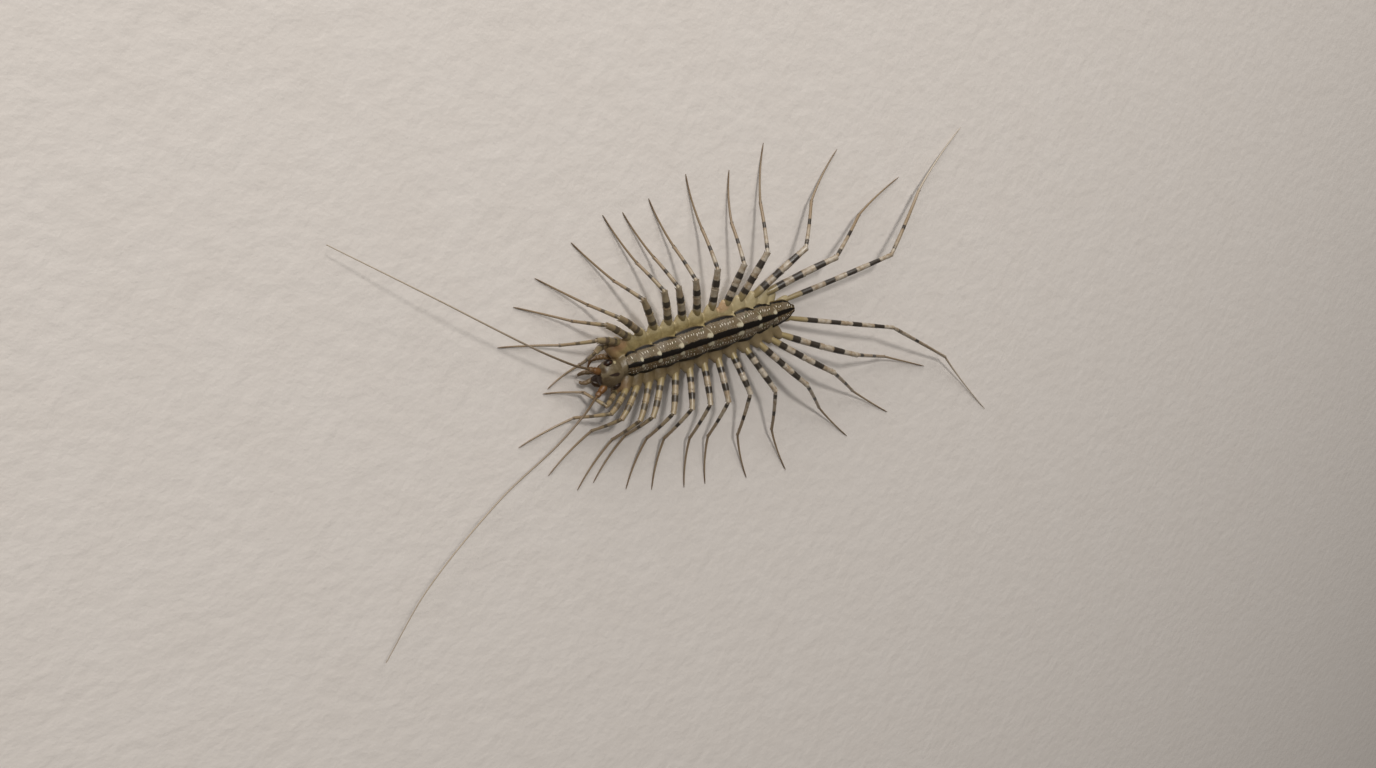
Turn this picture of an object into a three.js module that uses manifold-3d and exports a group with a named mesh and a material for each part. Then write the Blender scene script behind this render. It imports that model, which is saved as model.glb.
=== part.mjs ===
// A house centipede (Scutigera coleoptrata) at life size, standing with its body low and its
// legs fanned out. Millimetres, +Z up, head towards +X, the animal's left side towards +Y.
// The floor is z = 0, and the origin lies on it at the middle of the whole footprint.
import * as THREE from 'three';
import { mergeVertices } from 'three/addons/utils/BufferGeometryUtils.js';
import Module from 'manifold-3d';

const wasm = await Module();
wasm.setup();

// The trunk's middle, seen from the middle of the footprint of feelers and feet
const TRUNK_MIDDLE = new THREE.Vector3(4.6, -3.2, 0);
// Clear space between neighbouring pieces
const GAP = 0.3;
// Steps in a surface that are smaller than this are left out
const SMALLEST_STEP = 0.015;

// Trunk: where its eight back plates meet, from the neck to the tail
const PLATE_ENDS = [9.9, 8.1, 5.8, 2.8, -1.3, -5.65, -8.5, -11.0, -13.95];
const NECK_X = PLATE_ENDS[0];
// Half the width of the back at a few places along the trunk: [x, half width]
const BACK_HALF_WIDTH = [
  [-14.0, 0.6], [-13.2, 1.05], [-11.5, 1.5], [-7.5, 1.95], [0.0, 1.8], [6.0, 1.55], [9.9, 1.3],
];
// Height of the ridge of the back: [x, height]
const RIDGE_HEIGHT = [[-14.0, 3.0], [-11.5, 3.75], [-7.0, 4.15], [4.0, 4.25], [9.9, 4.0]];
const BELLY_HEIGHT = [[-14.0, 2.2], [-11.0, 1.6], [8.0, 1.5], [9.9, 1.7]];
// The back plates: drop from the ridge to their side edge, thickness, and how far their front
// and hind edges stand over the core, which is narrower than they are
const ARCH_DROP = 1.0;
const PLATE = { thickness: 0.5, riseFront: 0.08, riseBack: 0.36, notch: 0.5, corner: 0.75, bulge: 0.16 };
const CORE_INSET = 0.14;
// Plan of the cuts between segments: square across the core up to `inner` from the midline,
// then slanting on each side, so that they pass between two hips at `outer`
const SEGMENT_CUT = { inner: 1.4, outer: 2.9, end: 4.5, height: 10 };
// How far the first and last slanting cuts pass from the hip beside them
const FIRST_CUT_LEAD = 1.0;
const LAST_CUT_LAG = 0.75;

// Legs: pairs are counted from the head, and pair 15 is the trailing one
const PAIRS = 15;
const FIRST_HIP_X = 10.3;
// The front pair is crowded back and down by the head
const FRONT_HIP = { x: 10.2, height: 2.1 };
const HIP_STEP = { least: 0.85, more: 1.12 };
const LAST_COXA_INDEX = PAIRS - 1;
const COXA_ROOT = { out: 1.3, height: 2.35, radius: 0.8 };
const HIP = { out: 1.9, reach: 1.2, height: 2.8, radius: 0.36 };
// The trailing pair leaves the tail almost straight back
const TAIL_HIP = { x: -12.75, out: 0.85, reach: 1.0, bearing: 158 };
// The stump that a shed leg leaves on its coxa
const STUMP_REACH = 0.45;
// How far a coxa turns with its foot, 0 square to the trunk and 1 straight at the foot, and
// the bearing that it doesn't turn past
const COXA_TURN = 0.45;
const COXA_FOREMOST = 54;
// Plan length of each pair's thigh, front pair first
const THIGH_REACH = [2.6, 3.7, 4.4, 4.5, 4.6, 4.5, 4.5, 4.6, 5.0, 5.0, 6.2, 8.3, 10.0, 11.5, 16.0];
const KNEE_HEIGHT = { first: 4.2, front: 4.7, back: 5.2 };
const ANKLE_HEIGHT = 1.7;
// Where the ankle lies on the way from hip to foot
const ANKLE_SHARE = { front: 0.5, back: 0.69 };
// Bearings in degrees from straight ahead, reaches in mm from hip to toe, front pair first.
// The right foot of pair 14 is missing, as house centipedes often shed a leg.
const RIGHT = {
  side: -1,
  name: 'right',
  footBearing: [-26, 12, 29, 41, 59, 72, 74, 81, 94, 109, 117, 142, 162, null, 158],
  footReach: [7.5, 12.5, 12.6, 12.7, 12.7, 13.5, 13.1, 13.5, 15.0, 15.1, 18.4, 22.3, 27.2, null, 38.0],
  thighSwing: [30, 12, 10, 2, 7, 5, 2, 0, -1, 3, 6, 6, 5, null, 15],
  ankleBow: [0.25, 0, 0.2, 0.1, 0.4, 0.4, 0.5, 0.4, 0.5, 0.2, 0.5, 0.1, 0, null, 2.0],
};
const LEFT = {
  side: 1,
  name: 'left',
  footBearing: [-11, 15, 34, 47, 48, 60, 67, 77, 81, 95, 107, 129, 140, 154, 146],
  footReach: [7.5, 12.8, 13.4, 14.2, 13.8, 14.5, 15.1, 15.7, 16.2, 17.6, 19.7, 23.2, 26.8, 29.6, 44.8],
  thighSwing: [27, 9, 0, 1, 1, 0, 1, -2, 1, 0, 3, -2, 0, -2, 15],
  ankleBow: [0, 0, -0.2, 0, 0, -0.3, -0.7, -0.6, -0.6, -0.9, -0.4, -0.3, -0.2, 0.1, 4.2],
};
const THIGH_RADIUS = 0.37;
const SHIN_RADIUS = 0.28;
const FOOT_RADIUS = 0.25;
const TOE_RADIUS = 0.16;
const LEG_SIDES = 8;
const CORE_SIDES = 12;

// Head: an egg-shaped capsule turned a little to the animal's left
const HEAD = {
  middle: new THREE.Vector3(11.4, 0.5, 2.9),
  half: new THREE.Vector3(1.72, 1.62, 1.15),
  turn: THREE.MathUtils.degToRad(11),
};
const EYE = {
  at: new THREE.Vector3(-0.15, 1.42, 0.28),
  half: new THREE.Vector3(0.62, 0.42, 0.5),
};
const MUZZLE = {
  at: new THREE.Vector3(1.15, 0, -0.35),
  half: new THREE.Vector3(0.75, 0.85, 0.65),
};
// Feelers: waypoints from the socket on the head to the tip, and where each is parted
const FEELER_SOCKET = { ahead: 1.3, out: 0.85, up: 0.25, radius: 0.34, length: 0.5 };
const FEELER_BEARING = 30;
const FEELER_RADIUS = 0.27;
const FEELER_TIP_RADIUS = 0.13;
const FEELER_PARTING = 0.36;
const FEELER_WAYPOINTS = {
  right: [[16.2, -2.3, 4.2], [20.6, -5.7, 4.8], [29.1, -13.1, 4.8], [36.9, -19.9, 2.6]],
  left: [[16.1, 3.3, 4.5], [20.0, 5.4, 4.8], [27.3, 8.9, 4.6], [36.2, 15.5, 3.6], [41.9, 22.2, 2.2]],
};
// Mouthparts: the curved poison claws under the head and the palps in front of it
const CLAW = { root: 0.38, tip: 0.1, y: 0.9, z: 1.45, turn: 24 };
const CLAW_WAYPOINTS = [[11.3, 1.5, 0.95], [12.4, 1.45, 0.85], [12.95, 0.7, 0.8]];
const PALP = { root: 0.3, tip: 0.17 };
const PALP_WAYPOINTS = [[13.25, 0.45, 1.5], [13.8, 0.6, 1.5], [14.2, 0.55, 1.3], [14.4, 0.4, 1.1]];

const shell = (colour, roughness) =>
  new THREE.MeshStandardMaterial({ color: colour, roughness, metalness: 0 });
const FINISH = {
  trunk: shell(0x6f6040, 0.5),
  head: shell(0x5d5038, 0.45),
  eye: shell(0x0d0a09, 0.25),
  leg: shell(0xa3906f, 0.55),
  feeler: shell(0xa07f58, 0.6),
  claw: shell(0x8a4d1f, 0.4),
  palp: shell(0x9a5b25, 0.5),
};

const model = new THREE.Group();

// Straight-line reading of a [place, value] profile
function along(profile, place) {
  for (let i = 1; i < profile.length; i += 1) {
    const [fromPlace, fromValue] = profile[i - 1];
    const [toPlace, toValue] = profile[i];
    if (place <= toPlace) {
      const share = THREE.MathUtils.clamp((place - fromPlace) / (toPlace - fromPlace), 0, 1);
      return THREE.MathUtils.lerp(fromValue, toValue, share);
    }
  }
  return profile[profile.length - 1][1];
}

function bare(geometry) {
  geometry.deleteAttribute('normal');
  geometry.deleteAttribute('uv');
  return mergeVertices(geometry);
}

// Move every corner of a geometry by a function of its place
function reshape(geometry, move) {
  const places = geometry.attributes.position;
  const corner = new THREE.Vector3();
  for (let i = 0; i < places.count; i += 1) {
    corner.fromBufferAttribute(places, i);
    const moved = move(corner);
    places.setXYZ(i, moved.x, moved.y, moved.z);
  }
  return geometry;
}

function solidOf(geometry) {
  return new wasm.Manifold(new wasm.Mesh({
    numProp: 3,
    vertProperties: new Float32Array(geometry.attributes.position.array),
    triVerts: new Uint32Array(geometry.index.array),
  }));
}

function largestOf(solid) {
  const pieces = solid.simplify(SMALLEST_STEP).decompose();
  return pieces.reduce((best, piece) => (piece.volume() > best.volume() ? piece : best));
}

function geometryOf(solid) {
  const mesh = largestOf(solid).getMesh();
  const geometry = new THREE.BufferGeometry();
  geometry.setAttribute('position', new THREE.BufferAttribute(new Float32Array(mesh.vertProperties), 3));
  geometry.setIndex(new THREE.BufferAttribute(new Uint32Array(mesh.triVerts), 1));
  return geometry;
}

function addPiece(name, geometry, finish) {
  const mesh = new THREE.Mesh(geometry, finish);
  mesh.name = name;
  model.add(mesh);
}

// A closed tube through a row of stations, each { at, ahead, radius }. A cylinder is bent
// along them, so that its first ring is at the first station, with one flat side downward.
function tubeThrough(stations, sides, section = (radius) => ({ wide: radius, high: radius })) {
  const start = Math.PI / sides;
  const spans = stations.length - 1;
  const cylinder = bare(new THREE.CylinderGeometry(1, 1, spans, sides, spans, false, start));
  const up = new THREE.Vector3(0, 0, 1);
  return reshape(cylinder, (corner) => {
    const station = stations[Math.round(corner.y + spans / 2)];
    const ahead = station.ahead.clone().normalize();
    const beside = ahead.clone().cross(up).normalize();
    const above = beside.clone().cross(ahead);
    const size = section(station.radius);
    return station.at.clone()
      .addScaledVector(beside, corner.x * size.wide)
      .addScaledVector(above, corner.z * size.high);
  });
}

// Stations along a curve at the given shares of it, with a radius for each
function stationsOn(curve, shares, radiusAt) {
  return shares.map((share) => ({
    at: curve.getPointAt(share),
    ahead: curve.getTangentAt(share),
    radius: radiusAt(share),
  }));
}

const evenShares = (count, from = 0, to = 1) =>
  Array.from({ length: count }, (_, i) => THREE.MathUtils.lerp(from, to, i / (count - 1)));

const heading = (degrees, side, rise = 0) => {
  const turn = THREE.MathUtils.degToRad(degrees);
  return new THREE.Vector3(Math.cos(turn), side * Math.sin(turn), rise);
};

// Place of a hip along the trunk before its coxa turns it: closest together at both ends
function hipX(pair) {
  let x = FIRST_HIP_X;
  for (let i = 1; i <= pair; i += 1) {
    x -= HIP_STEP.least + HIP_STEP.more * Math.sin((Math.PI * i) / (PAIRS + 1));
  }
  return x;
}

// A coxa is rooted under its plate, two pairs to a plate and the trailing pair on the last
function coxaRootX(pair) {
  if (pair === LAST_COXA_INDEX) return TAIL_HIP.x;
  const plate = Math.floor(pair / 2);
  return THREE.MathUtils.lerp(PLATE_ENDS[plate], PLATE_ENDS[plate + 1], pair % 2 ? 0.74 : 0.26);
}

// Share of the way from the first pair to the last
const pairShare = (pair) => pair / LAST_COXA_INDEX;

// The shed leg keeps its coxa, which points the way of its neighbours
function coxaHeading(pose, pair) {
  if (pair === LAST_COXA_INDEX) return heading(TAIL_HIP.bearing, pose.side);
  const bearing = pose.footBearing[pair] ?? pose.footBearing[pair - 1];
  const turned = Math.max(COXA_FOREMOST, 90 + COXA_TURN * (bearing - 90));
  return heading(turned, pose.side, 0.12).normalize();
}

function hipAt(pose, pair) {
  const shed = pose.footBearing[pair] === null;
  const last = pair === LAST_COXA_INDEX;
  const root = new THREE.Vector3(hipX(pair), pose.side * HIP.out, HIP.height);
  if (last) root.set(TAIL_HIP.x, pose.side * TAIL_HIP.out, HIP.height);
  if (pair === 0) root.set(FRONT_HIP.x, pose.side * HIP.out, FRONT_HIP.height);
  const reach = last ? TAIL_HIP.reach : HIP.reach;
  return root.addScaledVector(coxaHeading(pose, pair), shed ? STUMP_REACH : reach);
}

function legStations(pose, pair) {
  const last = pair === LAST_COXA_INDEX;
  const share = pairShare(pair);
  const out = coxaHeading(pose, pair);
  const hip = hipAt(pose, pair).addScaledVector(out, GAP / 2);
  const toFoot = heading(pose.footBearing[pair], pose.side);
  const thighWay = heading(pose.footBearing[pair] + pose.thighSwing[pair], pose.side);
  const inward = heading(pose.footBearing[pair] + 90, pose.side);
  const kneeHeight = pair === 0
    ? KNEE_HEIGHT.first
    : THREE.MathUtils.lerp(KNEE_HEIGHT.front, KNEE_HEIGHT.back, share);
  const ankleShare = THREE.MathUtils.lerp(ANKLE_SHARE.front, ANKLE_SHARE.back, share);
  const reach = pose.footReach[pair];
  const knee = hip.clone().addScaledVector(thighWay, THIGH_REACH[pair]).setZ(kneeHeight);
  const ankle = hip.clone()
    .addScaledVector(toFoot, reach * ankleShare)
    .addScaledVector(inward, pose.ankleBow[pair])
    .setZ(ANKLE_HEIGHT);
  const toe = hip.clone().addScaledVector(toFoot, reach).setZ(0.1);

  const thighLift = knee.clone().lerp(hip, 0.5).addScaledVector(out, last ? 0 : 0.5);
  thighLift.z = THREE.MathUtils.lerp(hip.z, knee.z, 0.7);
  const thigh = new THREE.QuadraticBezierCurve3(hip, thighLift, knee);
  const shinBend = knee.clone().lerp(ankle, 0.5);
  shinBend.z += 0.25;
  const shin = new THREE.QuadraticBezierCurve3(knee, shinBend, ankle);
  const landing = ankle.clone().lerp(toe, 0.5).setZ(0.16);
  const foot = new THREE.QuadraticBezierCurve3(ankle, landing, toe);

  const thighRadius = THIGH_RADIUS * THREE.MathUtils.lerp(0.85, 1.0, Math.min(1, share * 3));
  const thighStations = stationsOn(thigh, [0, 0.15, 0.5, 0.85], (along01) =>
    thighRadius * (0.78 + 0.3 * Math.sin(Math.PI * Math.min(1, along01 + 0.15))));
  thighStations[0].ahead = out;
  const kneeStation = {
    at: knee,
    ahead: thigh.getTangent(1).add(shin.getTangent(0)),
    radius: SHIN_RADIUS * 1.12,
  };
  const shinStations = stationsOn(shin, [0.12, 0.5, 0.88], () => SHIN_RADIUS);
  const ankleStation = {
    at: ankle,
    ahead: shin.getTangent(1).add(foot.getTangent(0)),
    radius: FOOT_RADIUS * 1.05,
  };
  const footShares = last ? evenShares(9, 0.1) : [0.12, 0.4, 0.7, 0.9, 1];
  const footStations = stationsOn(foot, footShares, (along01) =>
    (along01 < 0.8 ? FOOT_RADIUS : THREE.MathUtils.lerp(FOOT_RADIUS, TOE_RADIUS, (along01 - 0.8) / 0.2)));
  return { upper: [...thighStations, kneeStation, ...shinStations, ankleStation], footStations };
}

// Corners that would go under the floor are laid on it, which gives each toe its flat
const layOnFloor = (geometry) => reshape(geometry, (corner) => corner.setZ(Math.max(0, corner.z)));

function buildLeg(pose, pair) {
  const { upper, footStations } = legStations(pose, pair);
  const name = `leg_${pose.name}_${String(pair + 1).padStart(2, '0')}`;
  if (pair < LAST_COXA_INDEX) {
    const tube = tubeThrough([...upper, ...footStations], LEG_SIDES);
    addPiece(name, layOnFloor(tube), FINISH.leg);
    return;
  }
  // The trailing leg is parted just past its ankle
  const ankle = upper[upper.length - 1];
  const whipStart = ankle.at.clone().addScaledVector(ankle.ahead.clone().normalize(), GAP);
  const whip = [{ ...ankle, at: whipStart }, ...footStations];
  addPiece(name, layOnFloor(tubeThrough(upper, LEG_SIDES)), FINISH.leg);
  addPiece(`${name}_whip`, layOnFloor(tubeThrough(whip, LEG_SIDES)), FINISH.leg);
}

function coxaSolid(pose, pair) {
  const out = coxaHeading(pose, pair);
  const hip = hipAt(pose, pair);
  const last = pair === LAST_COXA_INDEX;
  const root = new THREE.Vector3(coxaRootX(pair), pose.side * COXA_ROOT.out, COXA_ROOT.height);
  if (last) root.y = pose.side * 0.45;
  const end = hip.clone().addScaledVector(out, -GAP / 2);
  const way = new THREE.QuadraticBezierCurve3(root, end.clone().addScaledVector(out, -0.6), end);
  const stations = stationsOn(way, [0, 0.55, 0.85, 1], (share) =>
    THREE.MathUtils.lerp(last ? 0.6 : COXA_ROOT.radius, HIP.radius, share ** 2));
  stations[3].ahead = out;
  return solidOf(tubeThrough(stations, LEG_SIDES));
}

// Where a poison claw meets its base: on the front cut of the first segment
function clawRoot(side) {
  const at = new THREE.Vector3(NECK_X - GAP / 2, side * CLAW.y, CLAW.z);
  return { at, out: heading(CLAW.turn, side) };
}

// Where the cut behind the first `count` segments passes between the hips of one side
function cutBetweenHips(pose, count) {
  const nextPair = 2 * count;
  if (count === 0) return hipAt(pose, 0).x + FIRST_CUT_LEAD;
  const hind = hipAt(pose, nextPair - 1).x;
  return nextPair < LAST_COXA_INDEX ? (hind + hipAt(pose, nextPair).x) / 2 : hind - LAST_CUT_LAG;
}

// The slab that segment `index` may fill, cut off square behind the tail
function segmentSlab(index) {
  const { inner, outer, end, height } = SEGMENT_CUT;
  const tail = index + 2 === PLATE_ENDS.length;
  const corners = (pose, count, shift) => {
    const middle = PLATE_ENDS[count];
    const toHips = cutBetweenHips(pose, count) - middle;
    const slope = (count > index && tail ? -outer : toHips) / (outer - inner);
    const slantShift = shift * Math.hypot(1, slope);
    return [
      new THREE.Vector2(middle + (shift + slantShift) / 2, pose.side * inner),
      new THREE.Vector2(middle + slantShift + slope * (end - inner), pose.side * end),
    ];
  };
  const side = (pose) => [
    ...corners(pose, index, -GAP / 2),
    ...corners(pose, index + 1, tail ? 0 : GAP / 2).reverse(),
  ];
  const slab = new THREE.Shape([...side(RIGHT), ...side(LEFT).reverse()]);
  return solidOf(bare(new THREE.ExtrudeGeometry(slab, { depth: height, bevelEnabled: false })));
}

function coreSolid(front, back) {
  const steps = Math.max(3, Math.round((front - back) / 1.1) + 1);
  const way = new THREE.LineCurve3(new THREE.Vector3(back, 0, 0), new THREE.Vector3(front, 0, 0));
  const stations = stationsOn(way, evenShares(steps), () => 1);
  const tube = tubeThrough(stations, CORE_SIDES);
  return solidOf(reshape(tube, (corner) => {
    const halfWidth = along(BACK_HALF_WIDTH, corner.x);
    const top = along(RIDGE_HEIGHT, corner.x) - PLATE.thickness / 2;
    const bottom = along(BELLY_HEIGHT, corner.x);
    const middle = top - (top - bottom) * 0.52;
    const high = corner.z > 0 ? top - middle : middle - bottom;
    return new THREE.Vector3(corner.x, corner.y * (halfWidth - CORE_INSET), middle + corner.z * high);
  }));
}

// A back plate is a bent slab: it follows the arch of the back, rises towards its hind
// edge, bulges at the sides, and has rounded hind corners and a notch over the midline
function plateSolid(index) {
  const front = PLATE_ENDS[index];
  const back = PLATE_ENDS[index + 1] + GAP / 2;
  const tail = index + 2 === PLATE_ENDS.length;
  const slab = bare(new THREE.BoxGeometry(1, 2, 1, 4, 10, 1));
  return solidOf(reshape(slab, (corner) => {
    const backward = 0.5 - corner.x;
    const across = corner.y;
    const cornerCut = PLATE.corner * Math.abs(across) ** 4;
    const notch = tail ? 0 : PLATE.notch * Math.max(0, 1 - Math.abs(across) / 0.25);
    const hind = back + (cornerCut + notch) * backward ** 2;
    const x = THREE.MathUtils.lerp(front, hind, backward);
    const bulge = PLATE.bulge * Math.sin(Math.PI * Math.min(1, backward * 1.15));
    const halfWidth = along(BACK_HALF_WIDTH, x) + bulge;
    const drop = Math.min(ARCH_DROP, halfWidth * 0.6) * across * across;
    const rise = THREE.MathUtils.lerp(PLATE.riseFront, PLATE.riseBack, backward);
    const middle = along(RIDGE_HEIGHT, x) + rise - drop - PLATE.thickness / 2;
    return new THREE.Vector3(x, across * halfWidth, middle + corner.z * PLATE.thickness);
  }));
}

// The short base on the first segment that a poison claw grows from
function clawBaseSolid(side) {
  const { at, out } = clawRoot(side);
  const start = at.clone().addScaledVector(out, -1.2).setZ(at.z + 0.4);
  const stations = [start, at].map((place) => ({ at: place, ahead: out, radius: CLAW.root + 0.08 }));
  return solidOf(tubeThrough(stations, LEG_SIDES));
}

// From the head's own frame to the trunk's
function fromHead(ahead, out, up) {
  return new THREE.Vector3(ahead, out, up)
    .applyAxisAngle(new THREE.Vector3(0, 0, 1), HEAD.turn)
    .add(HEAD.middle);
}

function ellipsoid(at, half, columns, rows) {
  return reshape(bare(new THREE.SphereGeometry(1, columns, rows)), (corner) =>
    fromHead(at.x + corner.x * half.x, at.y + corner.y * half.y, at.z + corner.z * half.z));
}

const eyePlace = (side) => EYE.at.clone().setY(side * EYE.at.y);

// The head and eyes with the gap round them, which the first coxae keep clear of
function headRoomSolid() {
  const grown = (half) => half.clone().addScalar(GAP);
  return solidOf(ellipsoid(new THREE.Vector3(), grown(HEAD.half), 18, 12))
    .add(solidOf(ellipsoid(eyePlace(-1), grown(EYE.half), 12, 8)))
    .add(solidOf(ellipsoid(eyePlace(1), grown(EYE.half), 12, 8)))
    .intersect(solidOf(bare(
      new THREE.BoxGeometry(20, 20, 20).translate(NECK_X - GAP / 2 + 10, 0, 0))));
}

function buildTrunk() {
  for (let i = 0; i + 1 < PLATE_ENDS.length; i += 1) {
    let solid = coreSolid(PLATE_ENDS[i], PLATE_ENDS[i + 1]).add(plateSolid(i));
    if (i === 0) solid = solid.add(clawBaseSolid(-1)).add(clawBaseSolid(1));
    for (let pair = 2 * i; pair < Math.min(2 * i + 2, PAIRS); pair += 1) {
      solid = solid.add(coxaSolid(RIGHT, pair)).add(coxaSolid(LEFT, pair));
    }
    if (i === 0) solid = solid.subtract(headRoomSolid());
    addPiece(`trunk_${i + 1}`, geometryOf(solid.intersect(segmentSlab(i))), FINISH.trunk);
  }
}

function feelerSocketWay(side) {
  const start = fromHead(FEELER_SOCKET.ahead - 0.4, side * FEELER_SOCKET.out, FEELER_SOCKET.up);
  const out = heading(FEELER_BEARING, side, 0.12).normalize();
  return { start, out, end: start.clone().addScaledVector(out, 0.4 + FEELER_SOCKET.length) };
}

function feelerSocketSolid(side) {
  const { start, out, end } = feelerSocketWay(side);
  const stations = [start, end].map((at) => ({ at, ahead: out, radius: FEELER_SOCKET.radius }));
  return solidOf(tubeThrough(stations, LEG_SIDES));
}

function buildHead() {
  const zero = new THREE.Vector3();
  let head = solidOf(ellipsoid(zero, HEAD.half, 18, 12))
    .add(solidOf(ellipsoid(MUZZLE.at, MUZZLE.half, 12, 8)))
    .add(feelerSocketSolid(-1))
    .add(feelerSocketSolid(1));
  for (const side of [-1, 1]) {
    const at = eyePlace(side);
    const socket = EYE.half.clone().addScalar(GAP);
    head = head.subtract(solidOf(ellipsoid(at, socket, 12, 8)));
    const name = side < 0 ? 'right' : 'left';
    addPiece(`eye_${name}`, ellipsoid(at, EYE.half, 12, 8), FINISH.eye);
  }
  const neck = new THREE.BoxGeometry(20, 20, 20).translate(NECK_X + GAP / 2 + 10, 0, 0);
  addPiece('head', geometryOf(head.intersect(solidOf(bare(neck)))), FINISH.head);
}

function buildFeeler(name, side) {
  const { out, end } = feelerSocketWay(side);
  const start = end.clone().addScaledVector(out, GAP);
  const waypoints = FEELER_WAYPOINTS[name].map((place) => new THREE.Vector3(...place));
  const curve = new THREE.CatmullRomCurve3([start, ...waypoints], false, 'centripetal');
  const radiusAt = (share) =>
    THREE.MathUtils.lerp(FEELER_RADIUS, FEELER_TIP_RADIUS, Math.max(0, (share - 0.6) / 0.4));
  const length = curve.getLength();
  const base = stationsOn(curve, evenShares(8, 0, FEELER_PARTING), radiusAt);
  const whip = stationsOn(curve, evenShares(12, FEELER_PARTING + GAP / length, 1), radiusAt);
  base[0].ahead = out;
  addPiece(`feeler_${name}_base`, tubeThrough(base, 6), FINISH.feeler);
  addPiece(`feeler_${name}_whip`, tubeThrough(whip, 6), FINISH.feeler);
}

function buildMouthpart(name, places, size, finish, rootAhead) {
  const curve = new THREE.CatmullRomCurve3(places, false, 'centripetal');
  const stations = stationsOn(curve, evenShares(9), (share) =>
    THREE.MathUtils.lerp(size.root, size.tip, share ** 1.5));
  if (rootAhead) stations[0].ahead = rootAhead;
  addPiece(name, tubeThrough(stations, LEG_SIDES), finish);
}

function buildMouthparts(name, side) {
  const mirrored = ([x, y, z]) => new THREE.Vector3(x, side * y + HEAD.middle.y, z);
  const clawStart = clawRoot(side).at.add(new THREE.Vector3(GAP, 0, 0));
  const clawPlaces = [clawStart, ...CLAW_WAYPOINTS.map(mirrored)];
  const ahead = new THREE.Vector3(1, 0, 0);
  buildMouthpart(`poison_claw_${name}`, clawPlaces, CLAW, FINISH.claw, ahead);
  buildMouthpart(`palp_${name}`, PALP_WAYPOINTS.map(mirrored), PALP, FINISH.palp);
}

buildTrunk();
buildHead();
for (const pose of [RIGHT, LEFT]) {
  buildFeeler(pose.name, pose.side);
  buildMouthparts(pose.name, pose.side);
  for (let pair = 0; pair < PAIRS; pair += 1) {
    if (pose.footBearing[pair] !== null) buildLeg(pose, pair);
  }
}
model.position.copy(TRUNK_MIDDLE);

export default model;
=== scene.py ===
"""A house centipede at life size, dressed as a still museum model.

Every piece is shaped in millimetres in the trunk's own frame (head towards +X, the animal's
left side towards +Y, floor at z = 0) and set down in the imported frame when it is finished.
"""
import logging
import math
import random
from dataclasses import dataclass, field
from enum import Enum
from typing import Callable, Optional, Sequence

import bmesh
import bpy
from mathutils import Matrix, Vector, geometry


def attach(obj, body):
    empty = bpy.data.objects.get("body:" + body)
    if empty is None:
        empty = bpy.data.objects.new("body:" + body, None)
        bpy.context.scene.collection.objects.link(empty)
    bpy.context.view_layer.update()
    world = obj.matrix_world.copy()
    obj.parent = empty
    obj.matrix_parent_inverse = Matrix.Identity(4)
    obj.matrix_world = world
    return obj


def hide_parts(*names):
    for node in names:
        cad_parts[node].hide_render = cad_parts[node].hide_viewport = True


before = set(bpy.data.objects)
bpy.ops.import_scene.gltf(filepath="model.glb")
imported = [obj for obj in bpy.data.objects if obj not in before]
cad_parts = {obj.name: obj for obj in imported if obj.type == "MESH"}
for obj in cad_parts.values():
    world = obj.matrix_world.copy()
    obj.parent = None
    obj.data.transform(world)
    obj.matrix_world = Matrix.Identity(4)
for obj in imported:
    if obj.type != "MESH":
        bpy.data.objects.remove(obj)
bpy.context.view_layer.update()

log = logging.getLogger("centipede")

MM = 0.001
TRUNK_MIDDLE = Vector((4.6, -3.2, 0.0))
UP = Vector((0.0, 0.0, 1.0))
PAIRS = 15
LAST = PAIRS - 1
CREASE = 50.0


def lerp(a: float, b: float, share: float) -> float:
    """Straight-line mix of two numbers."""
    return a + (b - a) * share


def smooth(share: float) -> float:
    """Eased share from 0 to 1."""
    share = min(1.0, max(0.0, share))
    return share * share * (3.0 - 2.0 * share)


def heading(degrees: float, side: int, rise: float = 0.0) -> Vector:
    """Direction at a bearing from straight ahead, on one side of the animal."""
    turn = math.radians(degrees)
    return Vector((math.cos(turn), side * math.sin(turn), rise))


def on_side(side: int, at: Sequence[float], shift: float = 0.0) -> Vector:
    """A place that is given for the left side, mirrored for the right and then shifted along Y."""
    return Vector((at[0], side * at[1] + shift, at[2]))


def choose(obj: bpy.types.Object) -> bpy.types.Object:
    """Make one object the only selected and the active one.

    Args:
        obj: The object.

    Returns:
        The same object.
    """
    if bpy.context.mode != "OBJECT":
        bpy.ops.object.mode_set(mode="OBJECT")
    for other in bpy.context.selected_objects:
        other.select_set(False)
    obj.select_set(True)
    bpy.context.view_layer.objects.active = obj
    return obj


def settle(obj: bpy.types.Object) -> bpy.types.Object:
    """Apply an object's place, turn and size to its mesh.

    Args:
        obj: The object.

    Returns:
        The same object.
    """
    choose(obj)
    bpy.ops.object.transform_apply(location=True, rotation=True, scale=True)
    return obj


def twin(obj: bpy.types.Object, place: Matrix = Matrix.Identity(4)) -> bpy.types.Object:
    """Copy an object with a mesh of its own and set it at a place.

    Args:
        obj: The modelled piece.
        place: Where the copy goes.

    Returns:
        The copy, with its place applied.
    """
    copy = obj.copy()
    copy.data = obj.data.copy()
    copy.data.transform(place)
    bpy.context.scene.collection.objects.link(copy)
    return copy


def join(pieces: Sequence[bpy.types.Object], name: str) -> bpy.types.Object:
    """Join pieces into the first of them and name the result.

    Args:
        pieces: The pieces, each with its place applied.
        name: Name of the result.

    Returns:
        The joined piece.
    """
    choose(pieces[0])
    for piece in pieces[1:]:
        piece.select_set(True)
    bpy.ops.object.join()
    pieces[0].name = name
    return pieces[0]


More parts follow.
